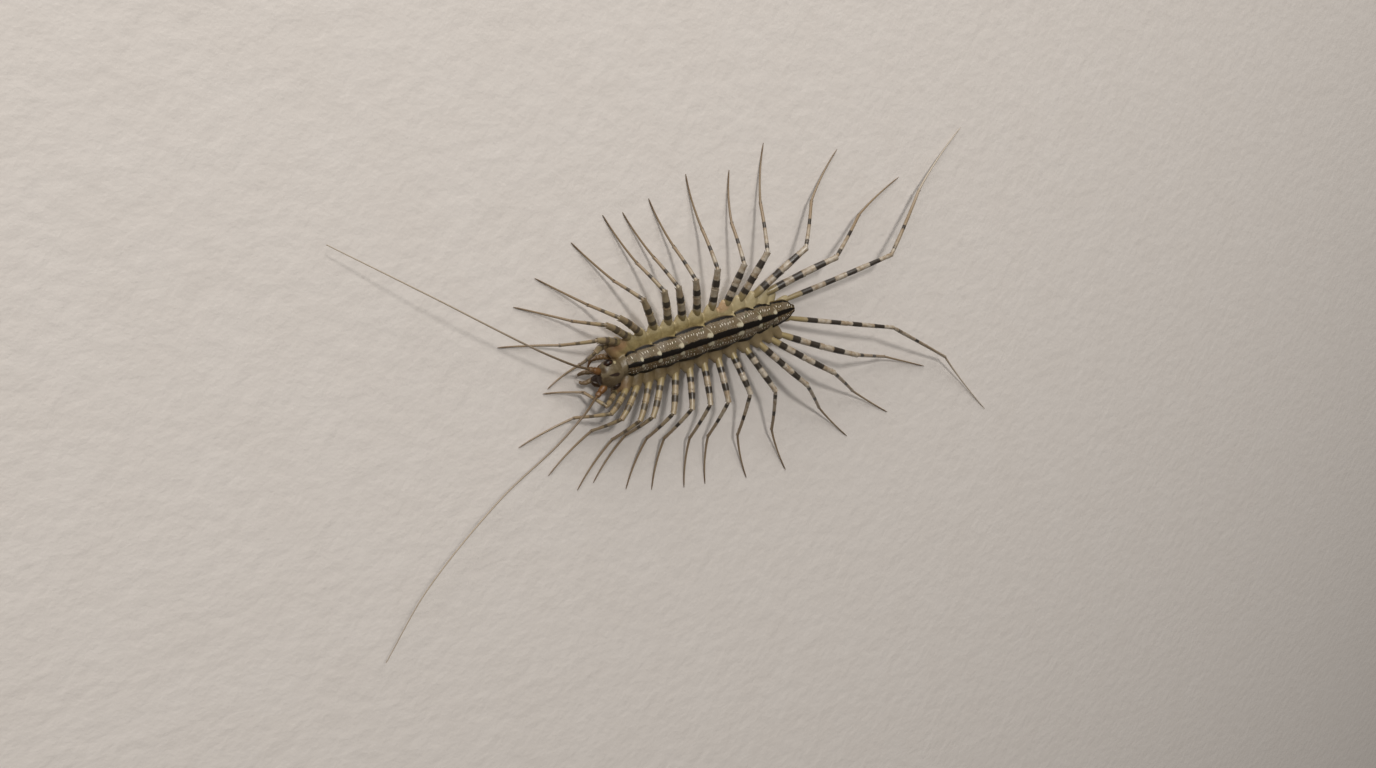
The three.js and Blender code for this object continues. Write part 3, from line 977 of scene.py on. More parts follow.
@dataclass(frozen=True)
class HeadFinish:
    """Head shell: olive brown with a dark face, a dark dash on top and rust cheeks; its left half and the
    place under its left eye are darkened as painted shade.
    """

    shell: Colour = srgb(88, 75, 52)
    light: Colour = srgb(106, 93, 70)
    # Brown for the patches, and for the left half as painted shade.
    brown: Colour = srgb(66, 50, 30)
    dark: Colour = srgb(40, 24, 12)
    rust: Colour = srgb(94, 66, 38)
    cream: Colour = srgb(168, 156, 124)
    left_shade_from: tuple[float, float] = (0.7, 1.4)
    rust_from: tuple[float, float] = (2.9, 2.4)
    brown_at: tuple[tuple[float, float, float], ...] = (
        (12.45, -0.35, 3.6), (11.75, 1.75, 3.5), (12.35, 0.65, 3.75))
    brown_half: tuple[float, float, float] = (0.42, 0.3, 0.5)
    cream_at: tuple[tuple[float, float, float], ...] = ((10.95, -0.85, 3.6), (10.2, 1.95, 3.4))
    cream_half: tuple[float, float, float] = (0.17, 0.14, 0.5)
    # Painted shade: a dark patch under and round the left eye.
    left_eye_shade: tuple[float, float, float] = (11.1, 2.0, 2.9)
    left_eye_shade_half: tuple[float, float, float] = (1.2, 0.5, 0.75)
    face_from: tuple[float, float] = (12.86, 13.0)
    face_middle: float = 0.5
    face_half: tuple[float, float] = (0.74, 0.62)
    dash_at: tuple[float, float] = (11.4, 0.37)
    dash_long: float = 0.66
    dash_thick: float = 0.19
    dash_taper: float = 0.13
    dash_slant: float = 0.15
    crown_from: tuple[float, float] = (3.4, 3.6)

    def make(self) -> bpy.types.Material:
        """Build the material.

        Returns:
            The material.
        """
        g = Graph("head_shell")
        x, y, z = (g.axis(i) for i in range(3))
        colour = g.mix(g.step(g.noise(0.5), 0.35, 0.68), self.shell, self.light)
        # Painted shade: the left half darkens towards brown.
        left = g.step(g.plus(y, g.times(g.noise(0.6), 0.5)), *self.left_shade_from)
        colour = g.over(colour, self.brown, left, 0.6)
        colour = g.mix(g.step(g.plus(z, g.ragged(0.3, 0.5)), *self.rust_from), colour, self.rust)
        # Painted shade under the left eye.
        colour = g.over(colour, self.dark, g.near(self.left_eye_shade, self.left_eye_shade_half, 0.4), 0.85)
        for at in self.brown_at:
            colour = g.over(colour, self.brown, g.near(at, self.brown_half, 0.7), 0.75)
        front = g.step(g.plus(x, g.times(g.noise(0.35), 0.3)), *self.face_from)
        middle = g.step(g.math("ABSOLUTE", g.minus(y, self.face_middle)), *self.face_half)
        colour = g.mix(g.times(front, middle), colour, self.dark)
        colour = g.mix(self._dash(g, x, y, z), colour, self.dark)
        for at in self.cream_at:
            colour = g.mix(g.near(at, self.cream_half, 0.6), colour, self.cream)
        g.bump(g.plus(g.noise(0.12, 4.0), g.times(g.cells(0.14), 0.5)), 0.02)
        return g.finish(colour, 0.4, Specular_IOR_Level=0.45, Coat_Weight=0.2, Coat_Roughness=0.3)

    def _dash(self, g: Graph, x: object, y: object, z: object) -> bpy.types.NodeSocket:
        """The dark dash on the crown, thickest at its rear end.

        Args:
            g: The material's graph.
            x: Place along the trunk.
            y: Place across it.
            z: Height.

        Returns:
            Its share.
        """
        ahead = g.minus(x, self.dash_at[0])
        aside = g.plus(g.minus(y, self.dash_at[1]), g.times(ahead, self.dash_slant))
        thick = g.minus(self.dash_thick, g.times(ahead, self.dash_taper))
        total = g.squares(g.math("DIVIDE", ahead, self.dash_long), g.math("DIVIDE", aside, thick))
        return g.times(g.step(total, 1.4, 0.6), g.step(z, *self.crown_from))


@dataclass(frozen=True)
class EyeFinish:
    """Facetted eye: black brown with a warm glint."""

    dark: Colour = srgb(24, 14, 9)
    warm: Colour = srgb(66, 37, 21)

    def make(self) -> bpy.types.Material:
        """Build the material.

        Returns:
            The material.
        """
        g = Graph("eye_facets")
        colour = g.mix(g.step(g.noise(0.4), 0.45, 0.8), self.dark, self.warm)
        return g.finish(colour, 0.38, Specular_IOR_Level=0.28, Coat_Weight=0.12, Coat_Roughness=0.15)


@dataclass(frozen=True)
class FloorFinish:
    """Pale matt floor with a faint grain."""

    pale: Colour = srgb(216, 210, 205)
    shade: Colour = srgb(210, 203, 197)

    def make(self) -> bpy.types.Material:
        """Build the material.

        Returns:
            The material.
        """
        g = Graph("pale_floor")
        colour = g.mix(g.noise(6.0, 4.0), self.pale, self.shade)
        g.bump(g.noise(2.0, 4.0), 0.15)
        return g.finish(colour, 0.85, Specular_IOR_Level=0.2)


@dataclass(frozen=True)
class Profile:
    """A size that changes along the trunk, read on straight lines between places."""

    stops: tuple[tuple[float, float], ...]

    def at(self, place: float) -> float:
        """Read the size at a place.

        Args:
            place: Place along the trunk.

        Returns:
            The size there.
        """
        for (x0, v0), (x1, v1) in zip(self.stops, self.stops[1:]):
            if place <= x1:
                return lerp(v0, v1, min(1.0, max(0.0, (place - x0) / (x1 - x0))))
        return self.stops[-1][1]


@dataclass(frozen=True)
class TrunkPlan:
    """Where the back plates meet, and the trunk's widths and heights."""

    plate_ends: tuple[float, ...] = (9.9, 8.1, 5.8, 2.8, -1.3, -5.65, -8.5, -11.0, -14.2)
    half_width: Profile = Profile((
        (-14.0, 0.6), (-13.2, 1.05), (-11.5, 1.48), (-7.5, 1.88), (0.0, 1.8), (6.0, 1.55), (9.9, 1.3)))
    ridge: Profile = Profile(((-14.0, 3.35), (-11.5, 3.75), (-7.0, 4.15), (4.0, 4.25), (9.9, 4.0)))
    belly: Profile = Profile(((-14.0, 2.2), (-11.0, 1.6), (8.0, 1.5), (9.9, 1.7)))


@dataclass(frozen=True)
class SidePose:
    """How the legs of one side stand, front pair first.

    Bearings and swings are in degrees, reaches and bows in mm. A shed leg has None.
    """

    side: int
    name: str
    foot_bearing: tuple[Optional[float], ...]
    foot_reach: tuple[Optional[float], ...]
    thigh_swing: tuple[Optional[float], ...]
    ankle_bow: tuple[Optional[float], ...]
    girth: float

    def standing(self) -> list[int]:
        """Pairs whose leg on this side wasn't shed."""
        return [pair for pair in range(PAIRS) if self.foot_bearing[pair] is not None]


RIGHT = SidePose(
    -1, "right",
    (-26, 12, 29, 41, 59, 72, 74, 81, 94, 109, 117, 142, 162, None, 158),
    (7.5, 12.5, 12.6, 12.7, 12.7, 13.5, 13.1, 13.5, 15.0, 15.1, 18.4, 22.3, 27.2, None, 38.0),
    (30, 12, 10, 2, 7, 5, 2, 0, -1, 3, 6, 6, 5, None, 15),
    (0.25, 0, 0.2, 0.1, 0.4, 0.4, 0.5, 0.4, 0.5, 0.2, 0.5, 0.1, 0, None, 2.0),
    1.1)
LEFT = SidePose(
    1, "left",
    (-11, 15, 34, 47, 48, 60, 67, 77, 81, 95, 107, 129, 140, 154, 146),
    (7.5, 12.8, 13.4, 14.2, 13.8, 14.5, 15.1, 15.7, 16.2, 17.6, 19.7, 23.2, 26.8, 29.6, 44.8),
    (27, 9, 0, 1, 1, 0, 1, -2, 1, 0, 3, -2, 0, -2, 15),
    (0, 0, -0.2, 0, 0, -0.3, -0.7, -0.6, -0.6, -0.9, -0.4, -0.3, -0.2, 0.1, 4.2),
    0.97)
SIDES = (RIGHT, LEFT)


@dataclass(frozen=True)
class Gait:
    """Where hips, knees, ankles and toes stand."""

    first_hip_x: float = 10.3
    step_least: float = 0.85
    step_more: float = 1.12
    hip_out: float = 1.9
    hip_reach: float = 1.2
    hip_height: float = 2.8
    tail_x: float = -12.75
    tail_out: float = 0.85
    tail_reach: float = 1.0
    tail_bearing: float = 158.0
    stump_reach: float = 0.45
    front_x: float = 10.2
    front_height: float = 2.1
    coxa_turn: float = 0.45
    coxa_foremost: float = 54.0
    thigh_reach: tuple[float, ...] = (
        2.6, 3.7, 4.4, 4.5, 4.6, 4.5, 4.5, 4.6, 5.0, 5.0, 6.2, 8.3, 10.0, 11.5, 16.0)
    knee_heights: tuple[float, float, float] = (4.2, 4.7, 5.2)
    ankle_height: float = 1.7
    ankle_shares: tuple[float, float] = (0.5, 0.69)
    toe_height: float = 0.1
    landing_height: float = 0.16
    sink: float = 0.3
    coxa_rise: float = 0.12
    thigh_bow: float = 0.5
    thigh_rise: float = 0.7
    shin_bow: float = 0.25
    steps: tuple[int, int] = (14, 24)

    def hip_x(self, pair: int) -> float:
        """Place of a hip along the trunk before its coxa turns it.

        Args:
            pair: The pair, counted from 0 at the head.

        Returns:
            The place.
        """
        steps = (self.step_least + self.step_more * math.sin(math.pi * i / (PAIRS + 1))
                 for i in range(1, pair + 1))
        return self.first_hip_x - sum(steps)

    def way_out(self, pose: SidePose, pair: int) -> Vector:
        """Direction of a coxa. A shed leg's coxa points the way of its neighbour's.

        Args:
            pose: The side's stance.
            pair: The pair, counted from 0 at the head.

        Returns:
            The direction.
        """
        if pair == LAST:
            return heading(self.tail_bearing, pose.side)
        bearing = pose.foot_bearing[pair]
        if bearing is None:
            bearing = pose.foot_bearing[pair - 1]
        turned = max(self.coxa_foremost, 90 + self.coxa_turn * (bearing - 90))
        return heading(turned, pose.side, self.coxa_rise).normalized()

    def hip(self, pose: SidePose, pair: int) -> Vector:
        """Where a leg leaves its coxa.

        Args:
            pose: The side's stance.
            pair: The pair, counted from 0 at the head.

        Returns:
            The place.
        """
        out = self.way_out(pose, pair)
        if pair == LAST:
            root = Vector((self.tail_x, pose.side * self.tail_out, self.hip_height))
            return root + out * self.tail_reach
        root = Vector((self.hip_x(pair), pose.side * self.hip_out, self.hip_height))
        if pair == 0:
            root.x, root.z = self.front_x, self.front_height
        shed = pose.foot_bearing[pair] is None
        return root + out * (self.stump_reach if shed else self.hip_reach)

    def leg(self, pose: SidePose, pair: int) -> tuple[list[Vector], list[Vector], list[Vector]]:
        """Middle lines of a leg's thigh, shin and foot.

        Args:
            pose: The side's stance.
            pair: The pair, counted from 0 at the head.

        Returns:
            Points on the thigh, the shin and the foot.
        """
        last, share = pair == LAST, pair / LAST
        out = self.way_out(pose, pair)
        hip = self.hip(pose, pair) - out * self.sink
        bearing, reach = pose.foot_bearing[pair], pose.foot_reach[pair]
        to_foot = heading(bearing, pose.side)
        thigh_way = heading(bearing + pose.thigh_swing[pair], pose.side)
        inward = heading(bearing + 90, pose.side)
        first, front, back = self.knee_heights
        knee = hip + thigh_way * self.thigh_reach[pair]
        knee.z = first if pair == 0 else lerp(front, back, share)
        ankle = hip + to_foot * reach * lerp(*self.ankle_shares, share) + inward * pose.ankle_bow[pair]
        ankle.z = self.ankle_height
        toe = hip + to_foot * (reach + self.sink)
        toe.z = self.toe_height
        lift = knee.lerp(hip, 0.5) + out * (0.0 if last else self.thigh_bow)
        lift.z = lerp(hip.z, knee.z, self.thigh_rise)
        over = knee.lerp(ankle, 0.5) + UP * self.shin_bow
        landing = ankle.lerp(toe, 0.5)
        landing.z = self.landing_height
        steps = self.steps[last]
        return arc(hip, lift, knee, steps), arc(knee, over, ankle, steps), arc(ankle, landing, toe, steps)


@dataclass
class Skin:
    """The soft trunk: one skin over the core, the coxae and the bases of the poison claws."""

    plan: TrunkPlan
    gait: Gait
    ring_step: float = 0.5
    sides: int = 24
    inset: float = 0.2
    under_plates: float = 0.16
    tail_in: float = 0.25
    neck: tuple[float, float, float] = (10.7, 0.35, 0.75)
    neck_base: tuple[float, float, float] = (1.05, 1.0, 2.8)
    coxa_root: tuple[float, float] = (1.05, 2.25)
    tail_root: tuple[float, float, float] = (0.4, 0.4, 2.45)
    tail_high: float = 0.8
    plate_shares: tuple[float, float] = (0.26, 0.74)
    coxa_wide: tuple[float, ...] = (0.9, 1.05, 1.08, 1.05, 0.96, 0.78, 0.52)
    coxa_high: tuple[float, ...] = (0.7, 0.78, 0.74, 0.66, 0.56, 0.48, 0.4)
    coxa_overlap: float = 0.4
    coxa_least: float = 0.68
    hip_spacing: float = 1.9
    claw_base: tuple[tuple[float, float, float], ...] = ((8.7, 0.75, 2.0), (10.15, 0.92, 1.46))
    claw_base_size: tuple[float, float] = (0.72, 0.8)
    sternite: tuple[tuple[float, float, float], ...] = (
        (-1, 0.55, 0.6), (-0.8, 0.8, 0.95), (0, 0.95, 1.0), (0.8, 0.8, 0.95), (1, 0.55, 0.6))
    sternite_size: tuple[float, float] = (0.42, 0.26)
    sternite_up: float = 0.12
    shelf_span: tuple[float, float] = (-12.6, 10.0)
    shelf_rings: int = 40
    shelf_right: float = 0.85
    shelf_left: float = 1.15
    shelf_half: float = 0.66
    shelf_height: float = 2.42
    voxel: float = 0.1
    smoothing: int = 12
    wrinkle: float = 0.05
    wrinkle_size: float = 0.45

    def core(self) -> bpy.types.Object:
        """Draw the trunk's core from tail to neck.

        Returns:
            The core.
        """
        plan, rings = self.plan, []
        x, front = plan.plate_ends[-1] + self.tail_in, plan.plate_ends[0]
        while x < front:
            top = plan.ridge.at(x) - self.under_plates
            low = plan.belly.at(x)
            rings.append(Ring(x, plan.half_width.at(x) - self.inset, (top - low) / 2, (top + low) / 2))
            x += self.ring_step
        end, aside, size = self.neck
        wide, high, middle = self.neck_base
        rings.append(Ring(front, wide, high, middle, aside / 3))
        rings.append(Ring(end, size, size, middle, aside))
        return draw_tube("core", self.sides, rings)

    def flank(self) -> bpy.types.Object:
        """Draw the soft shelf that fills the room between the coxae beside the plates.

        Returns:
            The shelf, blunt at both ends.
        """
        plan, rings = self.plan, []
        out = (self.shelf_left + self.shelf_right) / 2
        for i in range(self.shelf_rings + 1):
            share = i / self.shelf_rings
            x = lerp(*self.shelf_span, share)
            shrink = math.sqrt(max(0.05, 1 - abs(2 * share - 1) ** 8))
            rings.append(Ring(x, (plan.half_width.at(x) + out) * shrink, self.shelf_half * shrink,
                              self.shelf_height, self.shelf_left - out))
        return draw_tube("flank", 20, rings)

    def coxa(self) -> bpy.types.Object:
        """Draw one coxa of unit length along X, thick at its root.

        Returns:
            The coxa.
        """
        last = len(self.coxa_wide) - 1
        sizes = enumerate(zip(self.coxa_wide, self.coxa_high))
        return draw_tube("coxa", 14, [Ring(i / last, wide, high) for i, (wide, high) in sizes])

    def placed(self, template: bpy.types.Object, root: Vector, end: Vector,
               wide: float, high: float) -> bpy.types.Object:
        """Copy a unit piece so that it runs from root to end.

        Args:
            template: The unit piece.
            root: Where it starts.
            end: Where it ends.
            wide: How wide it becomes.
            high: How high it becomes.

        Returns:
            The copy.
        """
        way = end - root
        turn = way.to_track_quat("X", "Z").to_matrix().to_4x4()
        size = Matrix.Diagonal((way.length, wide, high, 1.0))
        return twin(template, Matrix.Translation(root) @ turn @ size)

    def root_x(self, pair: int) -> float:
        """Where a coxa is rooted along the trunk: under its plate, two pairs to a plate.

        Args:
            pair: The pair, counted from 0 at the head.

        Returns:
            The place.
        """
        if pair == LAST:
            return self.gait.tail_x + self.tail_root[0]
        ends, plate = self.plan.plate_ends, pair // 2
        under = lerp(ends[plate], ends[plate + 1], self.plate_shares[pair % 2])
        return lerp(under, self.gait.hip_x(pair), 0.5)

    def at_hip(self, coxa: bpy.types.Object, sternite: bpy.types.Object,
               pose: SidePose, pair: int) -> list[bpy.types.Object]:
        """Place one coxa, and on the left also the sternite between a pair's coxae.

        Args:
            coxa: The modelled coxa.
            sternite: The modelled sternite.
            pose: The side's stance.
            pair: The pair, counted from 0 at the head.

        Returns:
            The placed copies.
        """
        x = self.root_x(pair)
        out, height = self.tail_root[1:] if pair == LAST else self.coxa_root
        root = Vector((x, pose.side * out, height))
        end = self.gait.hip(pose, pair) + self.gait.way_out(pose, pair) * self.coxa_overlap
        room = self.gait.hip_x(max(0, pair - 1)) - self.gait.hip_x(min(LAST, pair + 1))
        wide = min(1.0, max(self.coxa_least, room / (2 * self.hip_spacing)))
        parts = [self.placed(coxa, root, end, wide, self.tail_high if pair == LAST else 1.0)]
        if pose is LEFT:
            at = (x, 0, self.plan.belly.at(x) + self.sternite_up)
            long, high = self.sternite_size
            parts.append(twin(sternite, stretched(at, (long * room, 1.0, high))))
        return parts

    def build(self) -> bpy.types.Object:
        """Join core, coxae and claw bases and draw one skin over them.

        Returns:
            The skin.
        """
        parts, coxa = [self.core(), self.flank()], self.coxa()
        sternite = draw_tube("sternite", 12, [Ring(*ring) for ring in self.sternite])
        for pose in SIDES:
            for pair in range(PAIRS):
                parts += self.at_hip(coxa, sternite, pose, pair)
            root, end = (on_side(pose.side, at) for at in self.claw_base)
            parts.append(self.placed(coxa, root, end, *self.claw_base_size))
        discard(coxa, sternite)
        skin = join(parts, "skin")
        work(skin, "REMESH", mode="VOXEL", voxel_size=self.voxel)
        work(skin, "SMOOTH", factor=0.5, iterations=self.smoothing)
        folds = bpy.data.textures.new("folds", "CLOUDS")
        folds.noise_scale = self.wrinkle_size
        work(skin, "DISPLACE", texture=folds, strength=self.wrinkle, mid_level=0.5)
        return shade(skin)

    def dress(self, skin: bpy.types.Object, finish: SkinFinish) -> None:
        """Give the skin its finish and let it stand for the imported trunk."""
        name_slots(skin, finish.make())
        set_down(skin, "trunk_skin", "back", *(f"trunk_{n}" for n in range(1, 9)))


@dataclass
class BackPlates:
    """The eight back plates, each a thin lobed shell that lies over the front of the next.

    Of corner_round and rim_wide, the first value is for a plain plate and the second for the tail's.
    """

    plan: TrunkPlan
    columns: int = 14
    rows: int = 20
    lobe: tuple[float, float] = (0.88, 0.15)
    lobe_span: tuple[float, float] = (0.12, 0.95)
    corner_round: tuple[float, float] = (0.42, 0.12)
    corner_power: float = 3.5
    notch: float = 0.16
    notch_half: float = 0.22
    lap: float = 0.3
    spread: float = 1.06
    drop: float = 1.0
    drop_power: float = 2.1
    rise: tuple[float, float] = (0.06, 0.34)
    thickness: float = 0.11
    rim: float = 0.045
    rim_wide: tuple[float, float] = (0.09, 0.03)
    mound: float = 0.07
    collar: float = 0.78
    collar_long: float = 0.35
    neck_room: float = 0.3
    tail_width: Profile = Profile(((-14.2, 1.22), (-12.8, 1.36), (-11.0, 1.53)))
    tail_round: float = 0.65
    tail_least: float = 0.28
    tail_drop: float = 0.6
    tail_unmarked: float = 0.78
    thorn: tuple[float, float] = (0.02, 0.12)
    thorn_rows: tuple[float, ...] = (0.34, 0.74)
    thorn_pitch: float = 0.5
    thorn_lean: float = 1.1
    thorn_sink: float = 0.015
    fold_half: tuple[float, float, float] = (0.04, 0.165, 0.032)
    fold_row: float = 0.6
    fold_pitch: float = 0.36
    fold_share: float = 0.85

    def flat(self, tail: bool) -> bpy.types.Object:
        """Model one flat plate: waisted in front, lobed at the sides, notched behind.

        Args:
            tail: Whether it is the last plate, which ends in a blunt round.

        Returns:
            The plate, 2 units square, with its plan coordinates on its corners.
        """
        bpy.ops.mesh.primitive_grid_add(x_subdivisions=self.columns, y_subdivisions=self.rows, size=2)
        plate = settle(bpy.context.object)
        for name, index, scale, shift in (("across", 1, 1.0, 0.0), ("along", 0, -0.5, 0.5)):
            values = plate.data.attributes.new(name, "FLOAT", "POINT").data
            for corner, value in zip(plate.data.vertices, values):
                value.value = corner.co[index] * scale + shift
        with Bench(plate) as bench:
            for along in self._shares():
                self._pick(bench, along=along)
                bench.size(1.0, self._tail_lobe(along) if tail else self._lobe(along), 1.0)
            for across in self._places():
                back = self.corner_round[tail] * abs(across) ** self.corner_power
                if not tail:
                    back += self.notch * max(0.0, 1 - abs(across) / self.notch_half)
                for along in self._shares()[self.columns // 2:]:
                    self._pick(bench, across, along)
                    bench.move(back * (2 * along - 1) ** 1.5, 0, 0)
            if not tail:
                bench.corners(lambda corner: abs(corner.co.y) < 0.15 and -0.85 < corner.co.x < -0.5)
                bench.move(0, 0, self.mound, reach=0.3)
        return plate

    def _shares(self) -> list[float]:
        """Places of the plate's columns along it, from 0 in front to 1 behind."""
        return [column / self.columns for column in range(self.columns + 1)]

    def _places(self) -> list[float]:
        """Places of the plate's rows across it, from -1 on the right to 1 on the left."""
        return [-1 + 2 * row / self.rows for row in range(self.rows + 1)]

    def _lobe(self, along: float) -> float:
        """Width of a plain plate, widest behind its middle."""
        (least, more), (start, grow) = self.lobe, self.lobe_span
        return least + more * math.sin(math.pi * min(1.0, start + along * grow))

    def _tail_lobe(self, along: float) -> float:
        """Width of the last plate, from 1 at its front to its blunt round end."""
        beyond = max(0.0, (along - (1 - self.tail_round)) / self.tail_round)
        return max(self.tail_least, math.sqrt(1 - beyond ** 3))

    @staticmethod
    def _pick(bench: Bench, across: Optional[float] = None, along: Optional[float] = None) -> None:
        """Select the corners with these plan coordinates.

        Args:
            bench: The open plate.
            across: Place across, or None for any.
            along: Place along, or None for any.
        """
        layers = bmesh.from_edit_mesh(bench.obj.data).verts.layers.float
        wanted = [(layers[name], value) for name, value in (("across", across), ("along", along))
                  if value is not None]
        bench.corners(lambda corner: all(abs(corner[layer] - value) < 1e-3 for layer, value in wanted))

    def arched(self, template: bpy.types.Object, index: int) -> bpy.types.Object:
        """Copy a flat plate to its place on the back and bend it over the trunk.

        Args:
            template: The flat plate.
            index: The plate, counted from the neck.

        Returns:
            The plate's finished shell.
        """
        plan, tail = self.plan, index + 2 == len(self.plan.plate_ends)
        front = plan.plate_ends[index] - (self.neck_room if index == 0 else 0.0)
        back = plan.plate_ends[index + 1] - (0.0 if tail else self.lap)
        plate = twin(template, stretched(((front + back) / 2, 0, 0), ((front - back) / 2, 1, 1)))
        with Bench(plate) as bench:
            for along in self._shares():
                x = lerp(front, back, along)
                width = (self.tail_width if tail else plan.half_width).at(x) * self.spread
                if index == 0:
                    width *= lerp(self.collar, 1.0, smooth(along / self.collar_long))
                self._pick(bench, along=along)
                bench.size(1.0, width, 1.0)
                bench.move(0, 0, plan.ridge.at(x) + lerp(*self.rise, along))
            for across in self._places():
                if not tail:
                    self._pick(bench, across)
                    bench.move(0, 0, -self.drop * abs(across) ** self.drop_power)
                    continue
                for along in self._shares():
                    self._pick(bench, across, along)
                    out = abs(across) * self._tail_lobe(along)
                    bench.move(0, 0, -self.tail_drop * out ** self.drop_power)
            bench.all()
            bpy.ops.mesh.inset(thickness=self.rim_wide[tail], depth=-self.rim)
            bench.turn_out()
        if plate.data.polygons[0].normal.z < 0:
            with Bench(plate) as bench:
                bench.all()
                bpy.ops.mesh.flip_normals()
        work(plate, "SOLIDIFY", thickness=self.thickness, offset=-1.0)
        work(plate, "SUBSURF", levels=1, render_levels=1)
        return shade(plate)

    def _touch(self, plate: bpy.types.Object, x: float, across: float) -> Optional[tuple[Vector, Vector]]:
        """Find where a line dropped on a plate meets it.

        Args:
            plate: The finished shell.
            x: Place along the trunk.
            across: Place across as a share of the half width, below 0 on the right.

        Returns:
            The point and the normal there, or None where the line misses.
        """
        above = Vector((x, across * self.plan.half_width.at(x), 9))
        hit, at, normal, _ = plate.ray_cast(above, -UP)
        return (at, normal) if hit else None

    def thorns(self, plate: bpy.types.Object, template: bpy.types.Object,
               index: int) -> list[bpy.types.Object]:
        """Stand rows of fine backward thorns on a plate's bands.

        Args:
            plate: The finished shell.
            template: One modelled thorn.
            index: The plate, counted from the neck.

        Returns:
            The placed thorns.
        """
        front, back = self.plan.plate_ends[index:index + 2]
        placed = []
        for side in (-1, 1):
            for row, across in enumerate(self.thorn_rows):
                x = front - 0.3 - 0.12 * row
                while x > back + 0.25:
                    touch = self._touch(plate, x, side * (across + random.uniform(-0.03, 0.03)))
                    if touch:
                        at, normal = touch
                        grow = random.uniform(0.7, 1.25)
                        lean = (normal + Vector((-self.thorn_lean, 0, 0))).normalized()
                        turn = lean.to_track_quat("Z", "X").to_matrix().to_4x4()
                        foot = Matrix.Translation(at - normal * self.thorn_sink)
                        placed.append(twin(template, foot @ turn @ Matrix.Scale(grow, 4)))
                    x -= self.thorn_pitch * random.uniform(0.8, 1.2)
        return placed

    def fold(self) -> bpy.types.Object:
        """Model one small raised fold, long along Y, from a ball.

        Returns:
            The fold, with its middle at the origin.
        """
        bpy.ops.mesh.primitive_uv_sphere_add(segments=8, ring_count=5, radius=1.0)
        made = settle(bpy.context.object)
        with Bench(made) as bench:
            bench.all()
            bench.size(*self.fold_half)
            bench.corners(lambda corner: corner.co.z > 0.02)
            bench.move(-0.02, 0, 0)
        return made

    def folds(self, plate: bpy.types.Object, template: bpy.types.Object,
              index: int) -> list[bpy.types.Object]:
        """Lay short crosswise folds along each band, which catch the light and take the pale horn finish
        as painted glints.

        Args:
            plate: The finished shell.
            template: One modelled fold.
            index: The plate, counted from the neck.

        Returns:
            The placed folds.
        """
        front, back = self.plan.plate_ends[index:index + 2]
        placed = []
        for side in (-1, 1):
            x = front - 0.55
            while x > back + 0.3:
                touch = self._touch(plate, x, side * (self.fold_row + random.uniform(-0.05, 0.05)))
                if touch and random.random() < self.fold_share:
                    at, normal = touch
                    turn = normal.to_track_quat("Z", "Y").to_matrix().to_4x4()
                    slant = Matrix.Rotation(side * random.uniform(-0.1, 0.5), 4, "Z")
                    size = (random.uniform(0.7, 1.1), random.uniform(0.6, 1.25), 1.0, 1.0)
                    placed.append(twin(template, Matrix.Translation(at) @ turn @ slant
                                       @ Matrix.Diagonal(size)))
                x -= self.fold_pitch * random.uniform(0.75, 1.2)
        return placed

    def build(self) -> list[bpy.types.Object]:
        """Model both kinds of plate once and set all eight over the trunk.

        Returns:
            The plates from neck to tail, each with its thorns and folds.
        """
        plain, tail = self.flat(False), self.flat(True)
        last = len(self.plan.plate_ends) - 2
        plates = [self.arched(tail if i == last else plain, i) for i in range(last + 1)]
        for value in plates[last].data.attributes["along"].data:
            value.value *= self.tail_unmarked
        spine = mark(thorn(*self.thorn), Place.HORN)
        fold = shade(mark(self.fold(), Place.HORN))
        for index, plate in enumerate(plates):
            mark(plate, Place.SHELL)
            plates[index] = join([plate, *self.thorns(plate, spine, index),
                                  *self.folds(plate, fold, index)], "plate")
        discard(plain, tail, spine, fold)
        return plates

    def dress(self, plates: Sequence[bpy.types.Object], finish: PlateFinish,
              bristle_and_glint: HornFinish) -> None:
        """Give the plates and their thorns their finishes.

        Args:
            plates: The plates from neck to tail.
            finish: The plates' finish.
            bristle_and_glint: The pale finish of thorns and folds; on the folds it is a painted glint.
        """
        # The pale horn finish paints the folds near white as painted glints.
        material, pale = finish.make(), bristle_and_glint.make()
        for number, plate in enumerate(plates, 1):
            plate.data.materials[Place.SHELL.value] = material
            plate.data.materials[Place.HORN.value] = pale
            set_down(plate, f"back_plate_{number}", "back")


